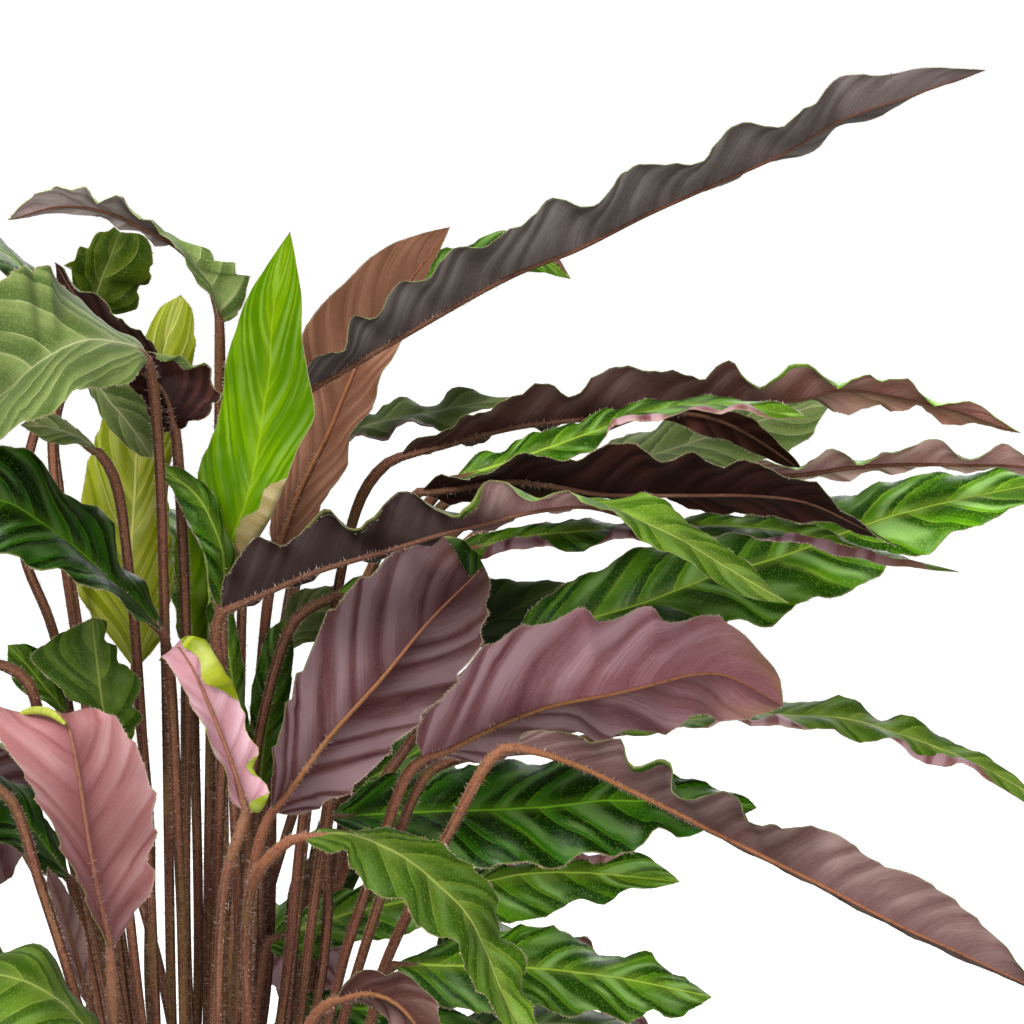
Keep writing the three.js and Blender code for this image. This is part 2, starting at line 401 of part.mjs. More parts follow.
   "right": [[66, 690], [56, 662], [30, 645]]},
  {"name": "leaf_44_dark_left", "seen": "dark", "half": 27, "lean": 1, "steps": 9,
   "stalk": [[91, 972, -56], [101, 1024]],
   "rib": [[70, 880, -68], [42, 842, -72], [10, 805, -78], [-35, 775, -84], [-90, 768, -90]],
   "left": [[45, 872], [15, 852], [-20, 825], [-65, 795]],
   "right": [[62, 848], [38, 802], [5, 775], [-45, 750]]},
  {"name": "leaf_45_bottom_left", "seen": "green", "half": 34, "lean": 1, "steps": 13,
   "stalk": [[112, 1085, -120], [130, 1150]],
   "rib": [[100, 1045, -130], [60, 1002, -138], [20, 980, -144], [-30, 975, -150],
           [-90, 1012, -156]],
   "left": [[75, 1050], [30, 1042], [-20, 1036], [-60, 1030]],
   "right": [[92, 1012], [65, 985], [52, 960], [40, 943], [16, 946], [-6, 955], [-35, 948],
             [-72, 975]]},
  {"name": "leaf_46_lilac_narrow", "seen": "mauve", "half": 10, "lean": 0.6, "steps": 8,
   "stalk": [[106, 1056, -60], [128, 1120]],
   "rib": [[90, 1010, -74], [76, 960, -84], [62, 910, -92], [47, 868, -98]],
   "left": [[76, 985], [60, 935], [49, 895]],
   "right": [[88, 965], [78, 915], [60, 880]]},
  {"name": "leaf_47_inner_green", "seen": "green", "half": 10, "lean": 0.6, "steps": 8,
   "stalk": [[238, 830, -12], [230, 1024]],
   "rib": [[238, 760, -14], [234, 700, -15], [228, 650, -15], [218, 600, -15]],
   "left": [[224, 740], [216, 690], [212, 640], [207, 605]],
   "right": [[249, 740], [244, 690], [239, 640], [228, 603]]},
  {"name": "leaf_48_inner_right", "seen": "green", "half": 15, "lean": 0.4, "steps": 8,
   "stalk": [[255, 860, 2], [251, 1024]],
   "rib": [[258, 800, 2], [264, 740, 2], [274, 680, 2], [286, 618, 2]],
   "left": [[248, 770], [249, 720], [256, 670], [270, 630]],
   "right": [[270, 780], [284, 735], [292, 680], [292, 640]]},
  {"name": "leaf_49_inner_olive", "seen": "lime", "half": 14, "lean": 0.4, "steps": 8,
   "stalk": [[194, 720, 2], [197, 1024]],
   "rib": [[192, 655, 2], [190, 605, 2], [187, 562, 2], [178, 512, 2]],
   "left": [[180, 640], [176, 590], [175, 550]],
   "right": [[205, 640], [207, 590], [200, 545]]},
  {"name": "leaf_50_arched_inner", "seen": "green", "half": 12, "lean": -0.3, "steps": 9,
   "stalk": [[301, 614, -14], [288, 632, -16], [256, 756, -18], [244, 1024]],
   "rib": [[334, 597, -11], [365, 590, -8], [405, 580, -6], [445, 573, -4]],
   "left": [[348, 582], [385, 568], [425, 562]],
   "right": [[350, 606], [390, 602], [430, 588]]},
  {"name": "leaf_51_grey_inner", "seen": "grey", "half": 15, "lean": -0.8, "steps": 8,
   "stalk": [[276, 690, 24], [266, 780, 20], [256, 1024]],
   "rib": [[284, 655, 26], [300, 625, 26], [324, 603, 26], [352, 588, 26]],
   "left": [[280, 630], [290, 600], [320, 586]],
   "right": [[302, 645], [326, 635], [350, 610]]},
  {"name": "leaf_52_off_left_top", "seen": "green", "half": 24, "lean": 0.8, "steps": 9,
   "stalk": [[62, 350, 12], [52, 440, 14], [85, 700, 12], [128, 1024]],
   "rib": [[45, 292, 10], [15, 262, 6], [-20, 245, 0], [-80, 252, -8], [-140, 290, -14]],
   "left": [[22, 285], [0, 270], [-40, 268], [-95, 285]],
   "right": [[34, 270], [0, 240], [-40, 228], [-100, 236]]},
  {"name": "leaf_53_off_left_low", "seen": "dark", "half": 27, "lean": 1, "steps": 9,
   "stalk": [[11, 800, -122], [41, 887, -118], [65, 961, -110], [84, 1024, -100]],
   "rib": [[-12, 783, -122], [-60, 775, -126], [-120, 795, -130], [-185, 860, -134]],
   "left": [[-30, 802], [-75, 812], [-125, 832], [-165, 862]],
   "right": [[-30, 765], [-80, 750], [-135, 762], [-180, 815]]},
];

// Leaves that the photograph's edges cut off, or that the clump hides, in shoots of a few each.
// depth and across place a shoot's foot among the leaves' own. Each leaf: the way it leans in
// degrees (0 = right, 90 = away from the view), then the reach and the height of its blade's base
// and tip, and half its width, in mm.
const SHOOTS = [
  {"name": "shoot_back", "depth": 110, "across": 230, "leaves": [
    {"way": 70, "base": [110, 400], "tip": [290, 330], "half": 30},
    {"way": 96, "base": [90, 450], "tip": [250, 470], "half": 28},
    {"way": 120, "base": [120, 380], "tip": [300, 280], "half": 31},
    {"way": 84, "base": [130, 300], "tip": [300, 210], "half": 28}]},
  {"name": "shoot_left", "depth": 14, "across": 60, "leaves": [
    {"way": 150, "base": [130, 390], "tip": [320, 380], "half": 30},
    {"way": 172, "base": [150, 330], "tip": [330, 270], "half": 29},
    {"way": 138, "base": [140, 280], "tip": [300, 200], "half": 28}]},
  {"name": "shoot_right_low", "depth": 45, "across": 400, "leaves": [
    {"way": 44, "base": [130, 290], "tip": [290, 220], "half": 29},
    {"way": 12, "base": [120, 240], "tip": [280, 190], "half": 27},
    {"way": 60, "base": [120, 250], "tip": [260, 160], "half": 27}]},
  {"name": "shoot_front_low", "depth": -180, "across": 262, "leaves": [
    {"way": 266, "base": [120, 250], "tip": [270, 180], "half": 28},
    {"way": 298, "base": [120, 238], "tip": [270, 170], "half": 29},
    {"way": 325, "base": [125, 256], "tip": [290, 200], "half": 28}]},
];
const SHOOT_STEPS = 9;
const SHOOT_WAVE = 3;
const SHOOT_WAVES = 5;
const WAVE_FULL_AT = 12;
const BLADE_FLAT = 0.94;
const BLADE_CUPPED = 0.3;
const ARCH = {rise: 0.3, lift: 0.35, near: 0.3, far: 0.7};
const STALK_BEND = {out: 0.45, up: 0.62};
const SHEATH_RADIUS = 3.6;
const SHEATH_TAPER = 1;
const SHEATH_HEIGHT = 26;

// A point of the photograph at a depth, as a place: the line of sight through it is followed
// from the camera until it is that far behind the clump's axis.
function fromPhoto(pixelX, pixelY, depth) {
  const across = (pixelX - PHOTO_MIDDLE) * MM_PER_PIXEL;
  const above = (PHOTO_MIDDLE - pixelY) * MM_PER_PIXEL;
  const cos = Math.cos(VIEW_TILT);
  const sin = Math.sin(VIEW_TILT);
  const along = (depth - above * sin) / (cos + (above * sin) / VIEW_DISTANCE);
  const grow = 1 + along / VIEW_DISTANCE;
  return new THREE.Vector3(
    (PHOTO_MIDDLE - AXIS_PIXEL) * MM_PER_PIXEL + across * grow,
    along * cos + above * grow * sin,
    VIEW_HEIGHT + above * grow * cos - along * sin,
  );
}

function smoothCurve(points) {
  const vectors = points.map(([x, y, z = 0]) => new THREE.Vector3(x, y, z));
  return new THREE.CatmullRomCurve3(vectors, false, "centripetal");
}

// Half the blade's width at a share of its length, as a share of its widest: broad below the
// middle and drawn out to a point.
function leafShape(share) {
  return Math.sin(Math.PI * share ** WIDEST_LOW) ** FULLNESS;
}

// The middle rib and both margins of a leaf of the photograph, as rows of places.
function rowsFromPhoto(leaf) {
  const rib = smoothCurve(leaf.rib);
  const base = leaf.rib[0].slice(0, 2);
  const tip = leaf.rib.at(-1).slice(0, 2);
  const margins = [
    {side: -leaf.lean, curve: smoothCurve([base, ...leaf.left, tip])},
    {side: leaf.lean, curve: smoothCurve([base, ...leaf.right, tip])},
  ];
  const rows = [];
  for (let step = 0; step <= leaf.steps; step += 1) {
    const share = step / leaf.steps;
    const middle = rib.getPointAt(share);
    const width = leaf.half * leafShape(share);
    const edges = margins.map(({side, curve}) => {
      const edge = curve.getPointAt(share);
      const seen = Math.hypot(edge.x - middle.x, edge.y - middle.y) * MM_PER_PIXEL;
      const deep = Math.sqrt(Math.max(width ** 2 - seen ** 2, 0));
      return fromPhoto(edge.x, edge.y, middle.z + side * deep);
    });
    rows.push([edges[0], fromPhoto(middle.x, middle.y, middle.z), edges[1]]);
  }
  return widened(rows);
}

// A row is never narrower than the stalk's end, so that base and tip are whole.
function widened(rows) {
  return rows.map((row, index) => {
    const [left, middle, right] = row;
    const before = rows[Math.max(index - 1, 0)][1];
    const after = rows[Math.min(index + 1, rows.length - 1)][1];
    const along = after.clone().sub(before).normalize();
    const middleRow = rows[Math.floor(rows.length / 2)];
    const near = rows[index < rows.length / 2 ? 1 : rows.length - 2];
    const across = near[2].clone().sub(near[0]);
    if (across.lengthSq() === 0) across.copy(middleRow[2]).sub(middleRow[0]);
    across.addScaledVector(along, -across.dot(along)).normalize();
    const hold = (edge, side) => {
      if (edge.distanceTo(middle) >= LEAST_HALF_WIDTH) return edge;
      return middle.clone().addScaledVector(across, side * LEAST_HALF_WIDTH);
    };
    return [hold(left, -1), middle, hold(right, 1)];
  });
}

// The same rows for a leaf that arches out from the clump in a direction.
function rowsOfArch(leaf) {
  const way = THREE.MathUtils.degToRad(leaf.way);
  const out = new THREE.Vector3(Math.cos(way), Math.sin(way), 0);
  const across = new THREE.Vector3(-out.y, out.x, 0);
  const up = new THREE.Vector3(0, 0, 1);
  const [baseReach, baseHeight] = leaf.base;
  const [tipReach, tipHeight] = leaf.tip;
  const length = tipReach - baseReach;
  const rib = new THREE.CubicBezierCurve3(
    out.clone().multiplyScalar(baseReach).setZ(baseHeight),
    out.clone().multiplyScalar(baseReach + length * ARCH.near).setZ(baseHeight + length * ARCH.rise),
    out.clone().multiplyScalar(baseReach + length * ARCH.far).setZ(tipHeight + length * ARCH.lift),
    out.clone().multiplyScalar(tipReach).setZ(tipHeight),
  );
  const rows = [];
  for (let step = 0; step <= SHOOT_STEPS; step += 1) {
    const share = step / SHOOT_STEPS;
    const middle = rib.getPoint(share);
    const width = leaf.half * leafShape(share);
    const edges = [1, -1].map((side) => {
      const wave = SHOOT_WAVE * Math.sin(2 * Math.PI * SHOOT_WAVES * share + side);
      const edge = middle.clone().addScaledVector(across, side * width * BLADE_FLAT);
      return edge.addScaledVector(up, width * BLADE_CUPPED + wave * Math.min(1, width / WAVE_FULL_AT));
    });
    rows.push([edges[0], middle, edges[1]]);
  }
  return widened(rows);
}

// A closed thin blade over rows of left margin, rib and right margin. Both faces are split into
// triangles along the same diagonals.
function bladeGeometry(rows) {
  const columns = rows[0].length;
  const last = rows.length - 1;
  const middle = rows.flat();
  const at = (row, column) => row * columns + column;
  const triangles = [];
  for (let row = 0; row < last; row += 1) {
    for (let column = 0; column < columns - 1; column += 1) {
      const corners = [
        at(row, column), at(row, column + 1), at(row + 1, column + 1), at(row + 1, column),
      ];
      if (column % 2 === 0) {
        triangles.push([corners[0], corners[1], corners[3]], [corners[1], corners[2], corners[3]]);
      } else {
        triangles.push([corners[0], corners[1], corners[2]], [corners[0], corners[2], corners[3]]);
      }
    }
  }
  const normals = middle.map(() => new THREE.Vector3());
  for (const [a, b, c] of triangles) {
    const normal = middle[b].clone().sub(middle[a]).cross(middle[c].clone().sub(middle[a]));
    normal.normalize();
    for (const corner of [a, b, c]) normals[corner].add(normal);
  }
  const count = middle.length;
  const positions = [];
  for (const side of [1, -1]) {
    for (let index = 0; index < count; index += 1) {
      const normal = normals[index].clone().normalize();
      const point = middle[index].clone().addScaledVector(normal, (side * BLADE_THICKNESS) / 2);
      positions.push(point.x, point.y, point.z);
    }
  }
  const faces = [];
  for (const [a, b, c] of triangles) {
    faces.push(a, b, c, count + a, count + c, count + b);
  }
  const edge = [];
  for (let column = 0; column < columns - 1; column += 1) edge.push(at(0, column));
  for (let row = 0; row < last; row += 1) edge.push(at(row, columns - 1));
  for (let column = columns - 1; column > 0; column -= 1) edge.push(at(last, column));
  for (let row = last; row > 0; row -= 1) edge.push(at(row, 0));
  edge.forEach((from, index) => {
    const to = edge[(index + 1) % edge.length];
    faces.push(from, count + from, count + to, from, count + to, to);
  });
  const geometry = new THREE.BufferGeometry();
  geometry.setAttribute("position", new THREE.Float32BufferAttribute(positions, 3));
  geometry.setIndex(faces);
  return geometry;
}

// A stalk's path is stepped from bend to bend, however far apart these are.
class BendPath extends THREE.CatmullRomCurve3 {
  getPointAt(share, target) {
    return this.getPoint(share, target);
  }

  getTangentAt(share, target) {
    return this.getTangent(share, target);
  }
}

function stalkGeometry(points) {
  const section = new THREE.Shape();
  for (let side = 0; side < STALK_SIDES; side += 1) {
    const turn = (2 * Math.PI * side) / STALK_SIDES;
    const [x, y] = [STALK_RADIUS * Math.cos(turn), STALK_RADIUS * Math.sin(turn)];
    if (side === 0) section.moveTo(x, y);
    else section.lineTo(x, y);
  }
  const path = new BendPath(points, false, "centripetal");
  const steps = points.length - 1;
  return new THREE.ExtrudeGeometry(section, {extrudePath: path, steps, bevelEnabled: false});
}

function solidOf(geometry) {
  const bare = new THREE.BufferGeometry();
  const source = geometry.index ? geometry.toNonIndexed() : geometry;
  bare.setAttribute("position", source.getAttribute("position"));
  const merged = mergeVertices(bare, 1e-4);
  const triVerts = new Uint32Array(merged.index.array);
  const solid = new wasm.Manifold(
    new wasm.Mesh({numProp: 3, vertProperties: merged.attributes.position.array, triVerts}),
  );
  if (solid.volume() > 0) return solid;
  for (let index = 0; index < triVerts.length; index += 3) {
    [triVerts[index + 1], triVerts[index + 2]] = [triVerts[index + 2], triVerts[index + 1]];
  }
  return new wasm.Manifold(
    new wasm.Mesh({numProp: 3, vertProperties: merged.attributes.position.array, triVerts}),
  );
}

function geometryOf(solid) {
  const mesh = solid.getMesh();
  const geometry = new THREE.BufferGeometry();
  geometry.setAttribute("position", new THREE.Float32BufferAttribute(mesh.vertProperties, 3));
  geometry.setIndex(Array.from(mesh.triVerts));
  geometry.computeVertexNormals();
  return geometry;
}

function named(name, geometry, colour, roughness) {
  const material = new THREE.MeshStandardMaterial({color: colour, roughness, metalness: 0});
  const mesh = new THREE.Mesh(geometry, material);
  mesh.name = name;
  return mesh;
}

// The pot's outer radius at a height, below its rim.
function taper(height) {
  return POT_BASE_RADIUS + ((POT_TOP_RADIUS - POT_BASE_RADIUS) * height) / POT_HEIGHT;
}

// A profile of [radius, height] points turned round the upright axis.
function turned(profile, sides) {
  const points = profile.map(([radius, height]) => new THREE.Vector2(radius, height));
  const geometry = new THREE.LatheGeometry(points, sides);
  geometry.rotateX(Math.PI / 2);
  return geometry;
}

// The pot: one closed wall section turned round, with drain holes cut clear of the middle.
function pot() {
  const rimFoot = POT_HEIGHT - RIM_HEIGHT;
  const profile = [
    [0, 0],
    [POT_BASE_RADIUS, 0],
    [taper(rimFoot), rimFoot],
    [taper(rimFoot) + RIM_PROUD, rimFoot + RIM_PROUD],
    [POT_TOP_RADIUS + RIM_PROUD, POT_HEIGHT - RIM_CHAMFER],
    [POT_TOP_RADIUS + RIM_PROUD - RIM_CHAMFER, POT_HEIGHT],
    [POT_TOP_RADIUS - POT_WALL, POT_HEIGHT],
    [taper(POT_FLOOR) - POT_WALL, POT_FLOOR],
    [0, POT_FLOOR],
  ];
  let solid = solidOf(turned(profile, POT_SIDES));
  for (let hole = 0; hole < DRAIN_HOLES; hole += 1) {
    const turn = (2 * Math.PI * (hole + 0.5)) / DRAIN_HOLES;
    const cutter = new THREE.CylinderGeometry(DRAIN_RADIUS, DRAIN_RADIUS, 2 * CUT_REACH, SMALL_ROUND_SIDES);
    cutter.rotateX(Math.PI / 2);
    cutter.translate(DRAIN_CIRCLE * Math.cos(turn), DRAIN_CIRCLE * Math.sin(turn), 0);
    solid = solid.subtract(solidOf(cutter));
  }
  return named("pot", geometryOf(solid), POT_COLOUR, ROUGHNESS.pot);
}

// The soil fills the pot up to its level, with a plain round hole for the clump.
function soil() {
  const inner = (height) => taper(height) - POT_WALL - 2 * FIT_GAP;
  const floor = POT_FLOOR + FIT_GAP;
  const profile = [
    [0, floor],
    [inner(floor), floor],
    [inner(SOIL_LEVEL), SOIL_LEVEL],
    [WELL_RADIUS + MOUND_SHOULDER.out, SOIL_LEVEL + MOUND_SHOULDER.height],
    [WELL_RADIUS, SOIL_LEVEL + MOUND_HEIGHT],
    [WELL_RADIUS, SOIL_LEVEL - WELL_DEPTH],
    [0, SOIL_LEVEL - WELL_DEPTH],
  ];
  const filling = solidOf(turned(profile, POT_SIDES));
  return named("soil", geometryOf(filling), SOIL_COLOUR, ROUGHNESS.soil);
}

// The crown lies in the hole, and every stalk stands on it.
const CROWN_TOP = SOIL_LEVEL - WELL_DEPTH + FIT_GAP + CROWN_HEIGHT;
function crown() {
  const radius = WELL_RADIUS - FIT_GAP;
  const foot = SOIL_LEVEL - WELL_DEPTH + FIT_GAP;
  const profile = [
    [0, foot],
    [radius - CROWN_CHAMFER, foot],
    [radius, foot + CROWN_CHAMFER],
    [radius - CROWN_TAPER, CROWN_TOP],
    [0, CROWN_TOP],
  ];
  const stock = solidOf(turned(profile, CROWN_SIDES));
  return named("crown", geometryOf(stock), CROWN_COLOUR, ROUGHNESS.crown);
}

// Rows of places on the crown, from front to back, each row from left to right.
function crownRows() {
  const rows = [];
  for (let row = -SPOT_RINGS; row <= SPOT_RINGS; row += 1) {
    const outermost = Math.abs(row) === SPOT_RINGS ? 1 : 0;
    const count = 2 * SPOT_RINGS + 1 - Math.abs(row) - 2 * outermost;
    const spots = [];
    for (let place = 0; place < count; place += 1) {
      const x = SPOT_SPACING * (place - (count - 1) / 2);
      spots.push(new THREE.Vector2(x, SPOT_SPACING * row * Math.sqrt(0.75)));
    }
    rows.push(spots);
  }
  return rows;
}

// Gives every plan its foot on the crown. The front row goes to the leaves whose blades are
// nearest, and so on, and in a row they stand from left to right, so that few stalks cross.
function giveFeet(plans) {
  const byDepth = [...plans].sort((a, b) => a.depth - b.depth);
  for (const spots of crownRows()) {
    const inRow = byDepth.splice(0, spots.length).sort((a, b) => a.across - b.across);
    inRow.forEach((plan, place) => {
      plan.foot = spots[place];
    });
  }
}

// The stalk from its spot on the crown, straight up out of the soil and then to the blade.
function stalkPath(spot, bends, rows) {
  return [
    new THREE.Vector3(spot.x, spot.y, CROWN_TOP + FIT_GAP),
    new THREE.Vector3(spot.x, spot.y, STALK_STRAIGHT_TO),
    ...bends,
    rows[0][1],
    rows[0][1].clone().lerp(rows[1][1], STALK_INTO_BLADE),
  ];
}

// A stalk's lowest point has no depth of its own: it lies on the line from the foot to the next.
function stalkBends(leaf) {
  const known = leaf.stalk.filter(([, , depth]) => depth !== undefined);
  const [, upperPixel, upperDepth] = known.at(-1) ?? leaf.rib[0];
  return leaf.stalk.map(([x, y, depth]) => {
    const share = (y - upperPixel) / (SOIL_PIXEL - upperPixel);
    return fromPhoto(x, y, depth ?? upperDepth + (leaf.foot.y - upperDepth) * share);
  }).reverse();
}

function photoLeaf(leaf) {
  const rows = rowsFromPhoto(leaf);
  const path = stalkPath(leaf.foot, stalkBends(leaf), rows);
  const stalk = solidOf(stalkGeometry(path));
  const whole = solidOf(bladeGeometry(rows)).add(stalk);
  return named(leaf.name, geometryOf(whole), COLOURS[leaf.seen], ROUGHNESS.leaf);
}

function shoot(plan) {
  const spot = plan.foot;
  const top = SHEATH_RADIUS - SHEATH_TAPER;
  const sheath = new THREE.CylinderGeometry(top, SHEATH_RADIUS, SHEATH_HEIGHT, SMALL_ROUND_SIDES);
  sheath.rotateX(Math.PI / 2);
  sheath.translate(spot.x, spot.y, CROWN_TOP + FIT_GAP + SHEATH_HEIGHT / 2);
  let whole = solidOf(sheath);
  for (const leaf of plan.leaves) {
    const rows = rowsOfArch(leaf);
    const way = THREE.MathUtils.degToRad(leaf.way);
    const [reach, height] = leaf.base;
    const bend = new THREE.Vector3(
      spot.x + (Math.cos(way) * reach - spot.x) * STALK_BEND.out,
      spot.y + (Math.sin(way) * reach - spot.y) * STALK_BEND.out,
      STALK_STRAIGHT_TO + (height - STALK_STRAIGHT_TO) * STALK_BEND.up,
    );
    const path = stalkPath(spot, [bend], rows);
    whole = whole.add(solidOf(stalkGeometry(path)));
    whole = whole.add(solidOf(bladeGeometry(rows)));
  }
  return named(plan.name, geometryOf(whole), COLOURS.green, ROUGHNESS.leaf);
}

// How far a stalk has leaned out by the level of the photograph's lower edge.
function leanOf(leaf) {
  const known = leaf.stalk.filter(([, , depth]) => depth !== undefined).at(-1);
  const rise = (SOIL_PIXEL - EDGE_PIXEL) / (SOIL_PIXEL - known[1]);
  return {depth: known[2] * rise, across: leaf.stalk.at(-1)[0]};
}

giveFeet([...SHOOTS, ...LEAVES.map((leaf) => Object.assign(leaf, leanOf(leaf)))]);

const plant = new THREE.Group();
plant.add(pot(), soil(), crown());
for (const plan of SHOOTS) plant.add(shoot(plan));
for (const leaf of LEAVES) plant.add(photoLeaf(leaf));

export default plant;
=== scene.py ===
"""Dresses a potted velvet calathea: wave-edged leaves on hairy stalks, a grow pot and its soil.

Each leaf is worked out from the same outline and middle rib as its solid, with many more rows, and
gets its veins, pleats, raised rib and hairs here. The plant's own sizes are in millimetres. They
become metres where a mesh is made.
"""

import math

import bpy
import numpy as np
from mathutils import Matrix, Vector


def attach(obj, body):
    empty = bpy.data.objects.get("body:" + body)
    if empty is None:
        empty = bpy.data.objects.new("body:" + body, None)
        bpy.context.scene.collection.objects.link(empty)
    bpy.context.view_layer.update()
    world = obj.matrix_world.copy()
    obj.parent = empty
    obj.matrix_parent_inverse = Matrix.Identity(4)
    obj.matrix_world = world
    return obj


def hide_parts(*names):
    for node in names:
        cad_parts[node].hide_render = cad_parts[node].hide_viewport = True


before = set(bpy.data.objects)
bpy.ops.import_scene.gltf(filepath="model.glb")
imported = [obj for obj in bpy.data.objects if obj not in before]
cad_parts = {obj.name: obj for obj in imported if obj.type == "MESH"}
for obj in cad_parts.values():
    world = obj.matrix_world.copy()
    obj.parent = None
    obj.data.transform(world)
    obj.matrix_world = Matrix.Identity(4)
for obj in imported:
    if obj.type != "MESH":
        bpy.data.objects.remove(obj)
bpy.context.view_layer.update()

MM = 0.001

# How the photograph was taken: millimetres to a pixel at the clump's axis, from a little above
MM_PER_PIXEL = 0.45
PHOTO_SIDE = 1024
PHOTO_MIDDLE = PHOTO_SIDE / 2
AXIS_PIXEL = 219
VIEW_HEIGHT = 524
VIEW_DISTANCE = 2200
VIEW_TILT = math.radians(5)
SOIL_PIXEL = 1300

# Sizes of the pot and what fills it
POT_HEIGHT = 180
POT_TOP_RADIUS = 96
POT_BASE_RADIUS = 72
POT_WALL = 2.6
POT_FLOOR = 3.5
RIM_HEIGHT = 14
RIM_PROUD = 3.4
DRAIN_HOLES = 6
DRAIN_RADIUS = 6
DRAIN_CIRCLE = 48
DRAIN_SIDES = 32
SOIL_LEVEL = 166
MOUND_HEIGHT = 7
MOUND_EDGE = 34
CLEARANCE = 0.3
CROWN_HEIGHT = 14
HOLLOW_FOOT = SOIL_LEVEL - 30
HOLLOW_RADIUS = 46
HOLLOW_SIDES = 48
CROWN_TOP = HOLLOW_FOOT + CLEARANCE + CROWN_HEIGHT
FOOT_START = CROWN_TOP + CLEARANCE

# Sizes of the leaves
STALK_RADIUS = 2.4
STALK_STRAIGHT_TO = SOIL_LEVEL + 8
WIDEST_LOW = 0.82
FULLNESS = 0.72
SPOT_SPACING = 9.4
SPOT_RINGS = 4
ROW_SPACING = 2.7
RING_SPACING = 6.5
BLADE_THICKNESS = 0.55

# Seeds of the leaves' random values
FIRST_LEAF_SEED = 100
FIRST_SHOOT_SEED = 300
SEED_STEP_IN_SHOOT = 31
STALK_HAIR_SEED = 500
MARGIN_HAIR_SEED = 700

